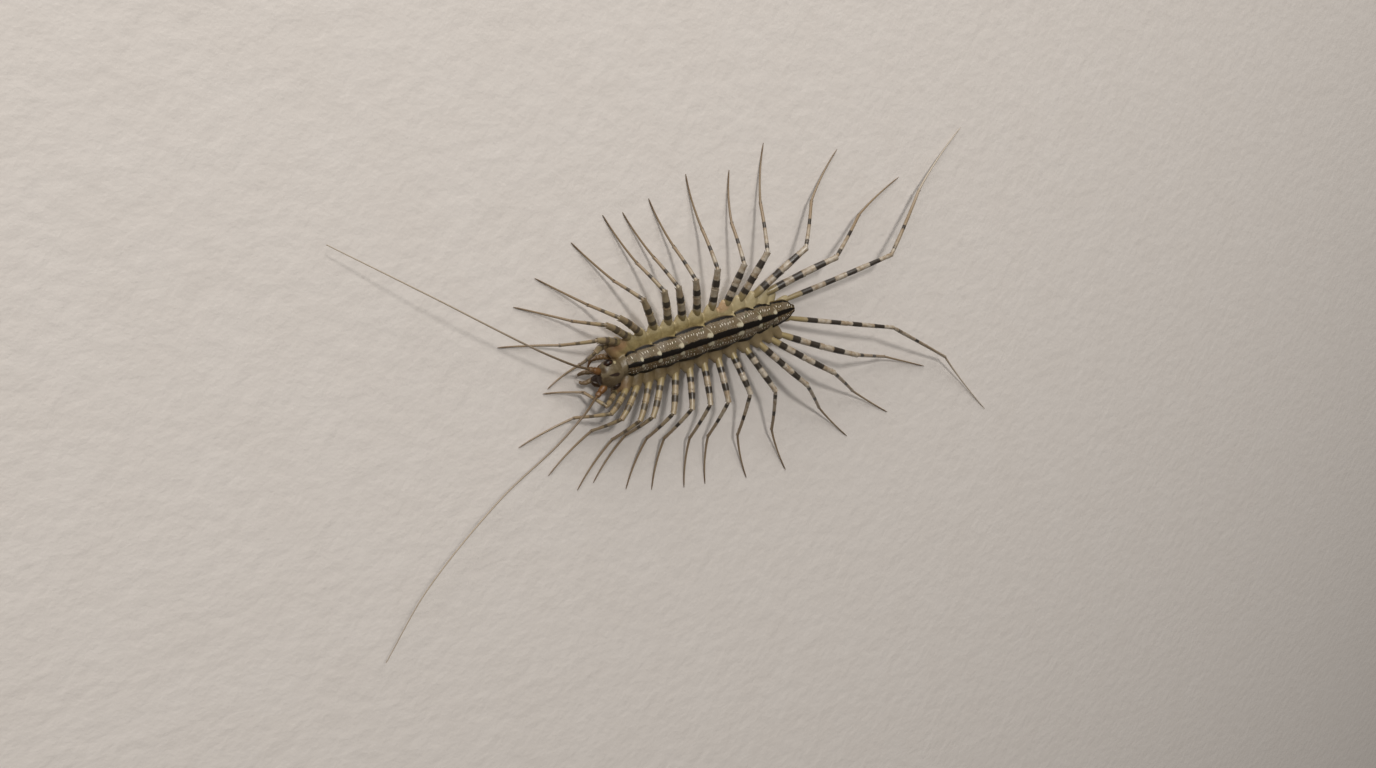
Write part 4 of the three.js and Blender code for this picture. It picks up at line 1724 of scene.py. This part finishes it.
@dataclass
class Head:
    """The head capsule with its eye seats and feeler sockets, turned a little to the left."""

    middle: Vector = field(default_factory=lambda: Vector((11.4, 0.45, 2.9)))
    half: tuple[float, float, float] = (1.72, 1.6, 1.15)
    turn: float = 11.0
    cuts: int = 17
    jaw_line: float = -0.25
    jaw_flat: float = 0.78
    brow: float = 1.2
    brow_narrow: tuple[float, float] = (0.84, 0.94)
    crown: float = 1.08
    crown_press: float = 0.06
    eye_at: tuple[float, float, float] = (-0.06, 1.4, 0.36)
    eye_half: tuple[float, float, float] = (0.56, 0.36, 0.42)
    seat_room: tuple[float, float] = (1.12, 1.15)
    seat_depth: float = 0.14
    facet: float = 0.035
    socket_at: tuple[float, float, float] = (1.2, 0.85, 0.22)
    socket_ahead: float = 0.12
    socket_radius: float = 0.42
    groove: float = 0.03

    def place(self) -> Matrix:
        """From the head's own frame to the trunk's."""
        return Matrix.Translation(self.middle) @ Matrix.Rotation(math.radians(self.turn), 4, "Z")

    def capsule(self) -> bpy.types.Object:
        """Shape the capsule from a ball of even faces.

        Returns:
            The capsule, in its place.
        """
        bpy.ops.mesh.primitive_cube_add(size=2.0)
        head = settle(bpy.context.object)
        with Bench(head) as bench:
            bench.all()
            bpy.ops.mesh.subdivide(number_cuts=self.cuts)
            bpy.ops.transform.tosphere(value=1.0)
        radius = head.data.vertices[0].co.length
        with Bench(head) as bench:
            bench.all()
            bench.size(*(half / radius for half in self.half))
            self._outline(bench)
            self._snout(bench)
            self._collar(bench)
            for side in (-1, 1):
                self._cheek(bench, side)
                self._eye_seat(bench, side)
                self._socket(bench, side)
            self._suture(bench)
        work(head, "SUBSURF", levels=2, render_levels=2)
        shade(head)
        head.matrix_world = self.place()
        return settle(head)

    def _outline(self, bench: Bench) -> None:
        """Flatten the capsule below, narrow it in front and press its crown down.

        Args:
            bench: The open capsule.
        """
        bench.corners(lambda corner: corner.co.z < self.jaw_line)
        bench.size(1.0, 1.0, self.jaw_flat, centre=(0, 0, self.jaw_line))
        bench.corners(lambda corner: corner.co.x > self.brow)
        bench.size(1.0, *self.brow_narrow, centre=(self.brow, 0, -0.1), reach=0.7)
        bench.corners(lambda corner: corner.co.z > self.crown)
        bench.move(0, 0, -self.crown_press, reach=0.8)

    def _snout(self, bench: Bench) -> None:
        """Draw out the front: the face shield and the lip below it.

        Args:
            bench: The open capsule.
        """
        bench.faces(lambda at: at.x > self.brow and abs(at.y) < 0.6 and -0.72 < at.z < 0.16)
        bpy.ops.mesh.inset(thickness=0.04, depth=0.0)
        bench.draw_out(0.2, -0.1, -0.1)
        bench.size(0.9, 0.66, 0.8, centre=(1.64, -0.1, -0.36))
        bench.draw_out(0.22, -0.1, -0.14)
        bench.size(0.9, 0.44, 0.6, centre=(1.9, -0.2, -0.54))
        bench.faces(lambda at: at.x > 1.55 and abs(at.y + 0.15) < 0.4 and -0.9 < at.z < -0.5)
        bpy.ops.mesh.inset(thickness=0.03, depth=0.0)
        bench.draw_out(0.05, 0, -0.14)

    def _collar(self, bench: Bench) -> None:
        """Raise a rim round the hind opening, where the neck skin goes in.

        Args:
            bench: The open capsule.
        """
        bench.faces(lambda at: at.x < -1.42)
        bpy.ops.mesh.inset(thickness=0.05, depth=0.05)
        bpy.ops.mesh.inset(thickness=0.06, depth=-0.1)

    def _cheek(self, bench: Bench, side: int) -> None:
        """Swell one cheek below the eye, where the jaw lies.

        Args:
            bench: The open capsule.
            side: 1 on the left, -1 on the right.
        """
        bench.faces(lambda at: 0.35 < at.x < 1.35 and 0.45 < at.y * side < 1.3 and at.z < -0.42)
        bpy.ops.mesh.inset(thickness=0.06, depth=0.0)
        bench.draw_out(0.06, side * 0.06, -0.16)
        bench.size(0.88, 0.88, 0.9, centre=(0.9, side * 0.8, -0.8))

    def _eye_seat(self, bench: Bench, side: int) -> None:
        """Press a rimmed seat into the capsule round one eye.

        Args:
            bench: The open capsule.
            side: 1 on the left, -1 on the right.
        """
        x, _, z = self.eye_at
        wide, high = self.eye_half[0] * self.seat_room[0], self.eye_half[2] * self.seat_room[1]
        bench.faces(lambda at: at.y * side > 0.85
                    and math.hypot((at.x - x) / wide, (at.z - z) / high) < 1)
        bpy.ops.mesh.inset(thickness=0.05, depth=0.05)
        bpy.ops.mesh.inset(thickness=0.04, depth=-self.seat_depth)

    def _socket(self, bench: Bench, side: int) -> None:
        """Raise a collar where one feeler leaves the capsule.

        Args:
            bench: The open capsule.
            side: 1 on the left, -1 on the right.
        """
        x, y, z = self.socket_at
        middle = on_side(side, (x + self.socket_ahead, y, z))
        bench.faces(lambda at: (at - middle).length < self.socket_radius)
        bpy.ops.mesh.inset(thickness=0.04, depth=0.1)
        bpy.ops.mesh.inset(thickness=0.08, depth=-0.1)

    def _suture(self, bench: Bench) -> None:
        """Sink a fine groove along the middle of the crown.

        Args:
            bench: The open capsule.
        """
        bench.corners(lambda corner: abs(corner.co.y) < 1e-3 and corner.co.z > 0.55)
        bpy.ops.mesh.bevel(offset=self.groove, segments=2, affect="EDGES")
        bench.corners(lambda corner: abs(corner.co.y) < 1e-3 and corner.co.z > 0.6)
        bench.move(0, 0, -self.groove)

    def eye(self, side: int) -> bpy.types.Object:
        """Model one facetted eye from a ball of triangles.

        Args:
            side: 1 on the left, -1 on the right.

        Returns:
            The eye, in its place.
        """
        bpy.ops.mesh.primitive_ico_sphere_add(subdivisions=4, radius=1.0)
        eye = settle(bpy.context.object)
        with Bench(eye) as bench:
            bench.all()
            bpy.ops.mesh.bevel(offset=self.facet, segments=1, affect="VERTICES")
        eye.matrix_world = self.place() @ stretched(on_side(side, self.eye_at), self.eye_half)
        return settle(eye)

    def build(self) -> dict[str, bpy.types.Object]:
        """Model the capsule and both eyes."""
        return {"head": self.capsule(), "eye_right": self.eye(-1), "eye_left": self.eye(1)}

    def dress(self, pieces: dict[str, bpy.types.Object], shell: HeadFinish, eye: EyeFinish) -> None:
        """Give capsule and eyes their finishes.

        Args:
            pieces: The capsule and the eyes by node name.
            shell: The capsule's finish.
            eye: The eyes' finish.
        """
        eye_material = eye.make()
        for name, piece in pieces.items():
            is_eye = name.startswith("eye")
            name_slots(piece, eye_material if is_eye else shell.make())
            set_down(piece, f"{name}_shell", "eye" if is_eye else "head", name)


class RingPlan(Enum):
    """Dark rings on thigh and on shin, each a middle and a half width as shares of its length."""

    FRONT = (((0.3, 0.06), (0.68, 0.08)), ((0.1, 0.05), (0.5, 0.06)))
    REAR = (((0.22, 0.05), (0.45, 0.06), (0.76, 0.07)), ((0.12, 0.05), (0.54, 0.06)))
    TRAILING = (((0.21, 0.045), (0.42, 0.045), (0.62, 0.045), (0.84, 0.05)), ((0.12, 0.04), (0.4, 0.04)))


@dataclass
class Legs:
    """The legs: podomeres modelled once, copied, stretched and bent along each stance."""

    gait: Gait
    prefemur: tuple[float, ...] = (
        0.72, 0.86, 0.96, 1.0, 1.02, 1.02, 1.0, 0.98, 0.96, 0.94, 0.92, 0.98, 1.0)
    femur: tuple[float, ...] = (0.84, 0.92, 0.95, 0.94, 0.92, 0.9, 0.87, 0.84, 0.81, 0.78, 0.76, 0.8, 0.84)
    tibia: tuple[float, ...] = (0.9, 1.1, 1.12, 1.08, 1.04, 1.0, 0.97, 0.94, 0.91, 0.88, 0.86, 0.9, 0.92)
    article: tuple[float, ...] = (0.86, 0.9, 1.0)
    thigh_radius: float = 0.43
    shin_radius: float = 0.22
    foot_radius: float = 0.16
    front_girth: float = 0.85
    last_girth: float = 0.76
    shin_girth: tuple[float, float] = (0.9, 1.05)
    toe_tip: float = 0.5
    whip_tip: float = 0.36
    end_tip: float = 0.45
    articles: int = 42
    long_articles: int = 110
    joint_share: float = 0.55
    rear_from: int = 9
    ring_shift: float = 0.025
    spur: tuple[float, float] = (0.06, 0.36)
    spurs: int = 3
    spur_lean: float = 68.0
    hair: tuple[float, float] = (0.02, 0.17)
    hair_pitch: float = 0.42
    hair_turn: float = 137.5
    hair_lean: float = 50.0

    def templates(self) -> dict[str, bpy.types.Object]:
        """Model each kind of podomere, the spur and the hair once.

        Returns:
            The pieces by name.
        """
        kinds = {
            "prefemur": draw_unit("prefemur", 10, self.prefemur),
            "femur": draw_unit("femur", 10, self.femur),
            "shin": draw_unit("shin", 10, self.tibia),
        }
        for key, count in (("tarsus", self.articles), ("whip", self.long_articles)):
            article = draw_unit(key, 8, self.article)
            work(article, "ARRAY", count=count, use_merge_vertices=True, merge_threshold=0.001)
            article.matrix_world = Matrix.Diagonal((1 / count, 1, 1, 1))
            kinds[key] = settle(article)
        kinds["spur"] = thorn(*self.spur, 5)
        kinds["hair"] = thorn(*self.hair, 3)
        for key, kind in kinds.items():
            mark(kind, Place.HORN if key in ("spur", "hair") else Place.SHELL)
        return kinds

    def armed(self, spur: bpy.types.Object, at: float, radius: float) -> list[bpy.types.Object]:
        """Set a crown of spurs at the far end of a podomere.

        Args:
            spur: The modelled spur.
            at: Where the podomere ends, in mm from the hip.
            radius: Its radius there.

        Returns:
            The placed spurs.
        """
        return [twin(spur, around(at - 0.12, 360 * turn / self.spurs + 20, radius * 0.82, self.spur_lean))
                for turn in range(self.spurs)]

    def hairy(self, hair: bpy.types.Object, start: float, end: float,
              radius: float) -> list[bpy.types.Object]:
        """Scatter fine hairs along one podomere.

        Args:
            hair: The modelled hair.
            start: Where the podomere begins, in mm from the hip.
            end: Where it ends.
            radius: Its radius.

        Returns:
            The placed hairs.
        """
        placed, x, turn = [], start + 0.3, 0.0
        while x < end - 0.2:
            turn += self.hair_turn
            placed.append(twin(hair, around(x, turn, radius * 0.88, self.hair_lean)))
            x += self.hair_pitch
        return placed

    def rings(self, pair: int, thigh: float, shin: float) -> list[tuple[float, float]]:
        """Where a leg's dark rings begin and end, in mm from its hip.

        Args:
            pair: The pair, counted from 0 at the head.
            thigh: Length of the thigh.
            shin: Length of the shin.

        Returns:
            The start and end of each ring.
        """
        if pair == LAST:
            plan = RingPlan.TRAILING
        else:
            plan = RingPlan.REAR if pair >= self.rear_from else RingPlan.FRONT
        on_thigh, on_shin = plan.value
        shift = random.uniform(-self.ring_shift, self.ring_shift)
        bands = [((at + shift - half) * thigh, (at + shift + half) * thigh) for at, half in on_thigh]
        return bands + [(thigh + (at - half) * shin, thigh + (at + half) * shin) for at, half in on_shin]

    def build_leg(self, kinds: dict[str, bpy.types.Object], pose: SidePose,
                  pair: int) -> bpy.types.Object:
        """Put one leg together straight, mark its rings, and bend it into its stance.

        Args:
            kinds: The modelled pieces by name.
            pose: The side's stance.
            pair: The pair, counted from 0 at the head.

        Returns:
            The leg.
        """
        last, share = pair == LAST, pair / LAST
        thigh_way, shin_way, foot_way = self.gait.leg(pose, pair)
        thigh, shin, foot = (length_of(way) for way in (thigh_way, shin_way, foot_way))
        joint, ankle, toe = thigh * self.joint_share, thigh + shin, thigh + shin + foot
        girth = self.last_girth if last else lerp(self.front_girth, 1.0, min(1.0, share * 3))
        thick = self.thigh_radius * (pose.girth * girth)
        thin = self.shin_radius * lerp(*self.shin_girth, share)
        parts = []
        for key, start, end, radius, end_size in (
                ("prefemur", 0.0, joint, thick, 0.95), ("femur", joint, thigh, thick, 0.84),
                ("shin", thigh, ankle, thin, 0.95)):
            parts.append(twin(kinds[key], stretched((start, 0, 0), (end - start, radius, radius))))
            parts += self.armed(kinds["spur"], end, radius * end_size)
            parts += self.hairy(kinds["hair"], start, end, radius)
        size = (toe - ankle, self.foot_radius, self.foot_radius)
        parts.append(twin(kinds["whip" if last else "tarsus"], stretched((ankle, 0, 0), size)))
        leg = join(parts, "leg")
        bands = self.rings(pair, thigh, shin)
        write_on(leg, "tipward", lambda x: x / toe)
        write_on(leg, "ring", lambda x: max(min(x - start, end - x) for start, end in bands))
        write_on(leg, "hind", lambda _: share)
        points = thigh_way + shin_way[1:] + foot_way[1:]
        ankle_at = len(thigh_way) + len(shin_way) - 1
        toe_at = len(points) - 1
        slim = self.whip_tip if last else self.toe_tip
        way = [WayPoint(point, lerp(1.0, slim, max(0.0, (i - ankle_at) / (toe_at - ankle_at))))
               for i, point in enumerate(points)]
        way[-1] = WayPoint(points[-1], slim * self.end_tip)
        bend(leg, way)
        return shade(leg, CREASE)

    def build(self) -> dict[tuple[str, int], bpy.types.Object]:
        """Build every leg that stands.

        Returns:
            The legs by side and pair.
        """
        kinds = self.templates()
        legs = {(pose.name, pair): self.build_leg(kinds, pose, pair)
                for pose in SIDES for pair in pose.standing()}
        discard(*kinds.values())
        return legs

    def dress(self, legs: dict[tuple[str, int], bpy.types.Object], finish: LegFinish,
              spur: HornFinish) -> None:
        """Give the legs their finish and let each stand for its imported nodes.

        Args:
            legs: The legs by side and pair.
            finish: The legs' finish.
            spur: The finish of spurs and hairs.
        """
        material, horn = finish.make(), spur.make()
        for (side, pair), leg in legs.items():
            node = f"leg_{side}_{pair + 1:02d}"
            nodes = (node, f"{node}_whip") if pair == LAST else (node,)
            leg.data.materials[Place.SHELL.value] = material
            leg.data.materials[Place.HORN.value] = horn
            set_down(leg, f"{node}_shell", "leg", *nodes)


@dataclass
class Feelers:
    """The two feelers: a stout rust base of two joints and a long ringed thread."""

    head: Head
    barrel: tuple[float, ...] = (0.55, 0.8, 0.95, 1.0, 1.0, 0.95, 0.88, 0.9, 0.7)
    article: tuple[float, ...] = (0.84, 0.9, 1.0)
    articles: int = 190
    thread_radius: float = 0.15
    tip: float = 0.36
    taper: float = 0.8
    bearing: float = 30.0
    rise: float = 0.12
    sink: float = 0.1
    scape: tuple[float, float] = (0.95, 0.42)
    pedicel: tuple[float, float] = (0.6, 0.33)
    overlap: float = 1.06
    waypoints: dict[str, tuple[tuple[float, float, float], ...]] = field(default_factory=lambda: {
        "right": ((16.2, -2.3, 4.2), (20.6, -5.7, 4.8), (29.1, -13.1, 4.8), (36.9, -19.9, 2.6)),
        "left": ((16.1, 3.3, 4.5), (20.0, 5.4, 4.8), (27.3, 8.9, 4.6), (36.2, 15.5, 3.6),
                 (41.9, 22.2, 2.2)),
    })

    def way(self, pose: SidePose) -> list[Vector]:
        """Middle line of one feeler, from inside its socket to its tip.

        Args:
            pose: The side's stance.

        Returns:
            Points on the line.
        """
        x, y, z = self.head.socket_at
        start = self.head.place() @ on_side(pose.side, (x - self.sink, y, z))
        out = heading(self.bearing, pose.side, self.rise).normalized()
        base_end = start + out * (self.scape[0] + self.pedicel[0])
        return spline_through([start, base_end, *map(Vector, self.waypoints[pose.name])], 16)

    def feeler(self, barrel: bpy.types.Object, thread: bpy.types.Object,
               points: Sequence[Vector]) -> bpy.types.Object:
        """Put one feeler together straight and bend it along its line.

        Args:
            barrel: The modelled joint.
            thread: The modelled thread.
            points: Points on the feeler's line.

        Returns:
            The feeler.
        """
        length = length_of(points)
        parts, at = [], 0.0
        for span, radius in (self.scape, self.pedicel):
            parts.append(twin(barrel, stretched((at, 0, 0), (span * self.overlap, radius, radius))))
            at += span
        size = ((length - at) / self.articles, self.thread_radius, self.thread_radius)
        parts.append(twin(thread, stretched((at - 0.05, 0, 0), size)))
        made = join(parts, "feeler")
        write_on(made, "tipward", lambda x: x / length)
        run, way = 0.0, []
        for before, point in zip([points[0], *points], points):
            run += (point - before).length
            share = max(0.0, (run - at) / (length - at)) ** self.taper
            way.append(WayPoint(point, lerp(1.0, self.tip, share)))
        bend(made, way)
        return shade(made, CREASE)

    def build(self) -> dict[str, bpy.types.Object]:
        """Model a joint and a ringed thread once and make both feelers of them.

        Returns:
            The feelers by side.
        """
        barrel = draw_unit("barrel", 16, self.barrel)
        thread = draw_unit("thread", 8, self.article)
        work(thread, "ARRAY", count=self.articles, use_merge_vertices=True, merge_threshold=0.001)
        feelers = {pose.name: self.feeler(barrel, thread, self.way(pose)) for pose in SIDES}
        discard(thread, barrel)
        return feelers

    def dress(self, feelers: dict[str, bpy.types.Object], finish: FeelerFinish) -> None:
        """Give the feelers their finish.

        Args:
            feelers: The feelers by side.
            finish: Their finish.
        """
        material = finish.make()
        for side, feeler in feelers.items():
            name_slots(feeler, material)
            set_down(feeler, f"feeler_{side}_thread", "feeler",
                     f"feeler_{side}_base", f"feeler_{side}_whip")


@dataclass(frozen=True)
class Hook:
    """One kind of mouthpart, for the left side.

    Its way follows the head's shift to the left, but its root in the trunk doesn't.
    Sizes are at its start and tip. Joints are shares of its length.
    """

    kind: str
    root: tuple[tuple[float, float, float], ...]
    way: tuple[tuple[float, float, float], ...]
    sizes: tuple[float, float]
    joints: tuple[float, ...]


@dataclass
class Mouthparts:
    """The curved poison claws under the head and the palps in front of it."""

    head: Head
    claw: Hook = Hook(
        "poison_claw", ((10.05, 0.9, 1.45),),
        ((11.3, 1.5, 0.95), (12.4, 1.45, 0.85), (12.95, 0.7, 0.8)),
        (0.4, 0.07), (0.3, 0.42, 0.52))
    palp: Hook = Hook(
        "palp", (),
        ((12.6, 0.35, 1.7), (13.25, 0.5, 1.55), (13.8, 0.6, 1.5), (14.2, 0.55, 1.3), (14.4, 0.4, 1.1)),
        (0.3, 0.12), (0.28, 0.55, 0.8))
    rings: int = 41
    taper: float = 1.5
    pinch: float = 0.8
    bristle_rows: int = 7
    bristles_round: int = 6
    bristle_lean: float = 55.0
    bristle_size: tuple[float, float, float] = (0.4, 0.4, 0.9)

    def bristles(self, hair: bpy.types.Object, length: float) -> list[bpy.types.Object]:
        """Set rings of hairs round a straight palp.

        Args:
            hair: The modelled hair.
            length: The palp's length.

        Returns:
            The placed hairs.
        """
        placed, size = [], Matrix.Diagonal((*self.bristle_size, 1))
        for row in range(self.bristle_rows):
            for turn in range(self.bristles_round):
                place = around(length * (0.3 + 0.1 * row), 60 * turn + 25 * row, 0.8, self.bristle_lean)
                placed.append(twin(hair, place @ size))
        return placed

    def piece(self, tube: bpy.types.Object, hair: bpy.types.Object, hook: Hook,
              side: int) -> bpy.types.Object:
        """Stretch a tube, pinch its joints and bend it along its way.

        Args:
            tube: The modelled tube.
            hair: The modelled hair.
            hook: The kind of mouthpart.
            side: 1 on the left, -1 on the right.

        Returns:
            The mouthpart.
        """
        root = [on_side(side, at) for at in hook.root]
        points = spline_through(
            root + [on_side(side, at, self.head.middle.y) for at in hook.way], 8)
        length = length_of(points)
        made = twin(tube, Matrix.Diagonal((length, 1, 1, 1)))
        write_on(made, "tipward", lambda x: x / length)
        with Bench(made) as bench:
            for at in (joint * length for joint in hook.joints):
                bench.corners(lambda corner: abs(corner.co.x - at) < length / 90)
                bench.size(1.0, self.pinch, self.pinch, centre=(at, 0, 0))
        if hook is self.palp:
            made = join([made, *self.bristles(hair, length)], "palp")
        last = len(points) - 1
        bend(made, [WayPoint(point, lerp(*hook.sizes, (i / last) ** self.taper))
                    for i, point in enumerate(points)])
        return shade(made, CREASE)

    def build(self) -> dict[str, bpy.types.Object]:
        """Draw one tube and make both pairs of mouthparts of it.

        Returns:
            The mouthparts by node name.
        """
        tube = draw_unit("mouthpart", 12, [1.0] * self.rings)
        hair = thorn(0.1, 1.1)
        pieces = {f"{hook.kind}_{pose.name}": self.piece(tube, hair, hook, pose.side)
                  for pose in SIDES for hook in (self.claw, self.palp)}
        discard(tube, hair)
        return pieces

    def dress(self, pieces: dict[str, bpy.types.Object], claw: HornFinish, palp: HornFinish) -> None:
        """Give claws and palps their finishes.

        Args:
            pieces: The mouthparts by node name.
            claw: The claws' finish.
            palp: The palps' finish.
        """
        materials = {self.claw.kind: claw.make(), self.palp.kind: palp.make()}
        for name, piece in pieces.items():
            kind = name.rsplit("_", 1)[0]
            name_slots(piece, materials[kind])
            set_down(piece, f"{name}_shell", "claw" if kind == self.claw.kind else "palp", name)


@dataclass(frozen=True)
class Lamp:
    """A square lamp that shines on the middle of the floor. Sizes are in metres, its power in watts."""

    name: str
    at: tuple[float, float, float]
    size: float
    power: float
    colour: tuple[float, float, float] = (1.0, 0.97, 0.93)

    def build(self) -> None:
        """Hang the lamp."""
        lamp = bpy.data.lights.new(self.name, "AREA")
        lamp.size, lamp.energy = self.size, self.power
        lamp.color = self.colour
        light = bpy.data.objects.new(self.name, lamp)
        light.location = self.at
        light.rotation_euler = (-Vector(self.at)).to_track_quat("-Z", "Y").to_euler()
        bpy.context.scene.collection.objects.link(light)


@dataclass
class Studio:
    """Floor, soft lights and the camera at the photograph's viewing angle.

    The camera's place is in millimetres, and its axes are unit vectors.
    """

    camera_at: tuple[float, float, float] = (62.958, -36.315, 95.094)
    right: tuple[float, float, float] = (-0.81573, 0.14527, 0.55989)
    down: tuple[float, float, float] = (0.30193, 0.93256, 0.19793)
    view: tuple[float, float, float] = (-0.49337, 0.33050, -0.80458)
    lens: float = 26.16
    sensor: float = 36.0
    nearest: float = 0.001
    floor_size: float = 1.6
    lamps: tuple[Lamp, ...] = (
        Lamp("key", (0.09, -0.25, 0.46), 0.05, 1.04),
        Lamp("soft", (0.02, -0.50, 0.28), 0.5, 3.0))
    sky: tuple[float, float, float] = (0.95, 0.92, 0.88)
    sky_strength: float = 0.15

    def build(self) -> None:
        """Set up floor, camera, lights and world."""
        bpy.ops.mesh.primitive_plane_add(size=self.floor_size, location=(0, 0, 0))
        floor = settle(bpy.context.object)
        floor.name = "floor"
        name_slots(floor, FloorFinish().make())
        self.camera()
        for lamp in self.lamps:
            lamp.build()
        world = bpy.data.worlds.new("studio")
        world.use_nodes = True
        background = world.node_tree.nodes["Background"]
        background.inputs["Color"].default_value = (*self.sky, 1)
        background.inputs["Strength"].default_value = self.sky_strength
        bpy.context.scene.world = world
        bpy.context.scene.view_settings.view_transform = "Standard"

    def camera(self) -> None:
        """Set the camera up where the photograph's stood."""
        camera = bpy.data.cameras.new("camera")
        camera.lens, camera.sensor_width, camera.clip_start = self.lens, self.sensor, self.nearest
        holder = bpy.data.objects.new("camera", camera)
        bpy.context.scene.collection.objects.link(holder)
        columns = (Vector(self.right), -Vector(self.down), -Vector(self.view))
        turn = Matrix(columns).transposed().to_4x4()
        holder.matrix_world = Matrix.Translation(Vector(self.camera_at) * MM) @ turn
        bpy.context.scene.camera = holder


def main() -> None:
    """Build every sub-assembly in order and report it."""
    logging.basicConfig(level=logging.INFO, format="%(message)s")
    random.seed(11)
    plan, gait, head = TrunkPlan(), Gait(), Head()
    Studio().build()
    log.info("studio ready")
    skin = Skin(plan, gait)
    skin.dress(skin.build(), SkinFinish())
    log.info("skin ready")
    plates = BackPlates(plan)
    plates.dress(plates.build(), PlateFinish(), PALE_BRISTLE_AND_GLINT)
    log.info("back plates ready")
    head.dress(head.build(), HeadFinish(), EyeFinish())
    log.info("head ready")
    legs = Legs(gait)
    legs.dress(legs.build(), LegFinish(), SPUR)
    log.info("legs ready")
    feelers = Feelers(head)
    feelers.dress(feelers.build(), FeelerFinish())
    log.info("feelers ready")
    mouth = Mouthparts(head)
    mouth.dress(mouth.build(), CLAW, PALP)
    log.info("mouthparts ready")


if __name__ == "__main__":
    main()
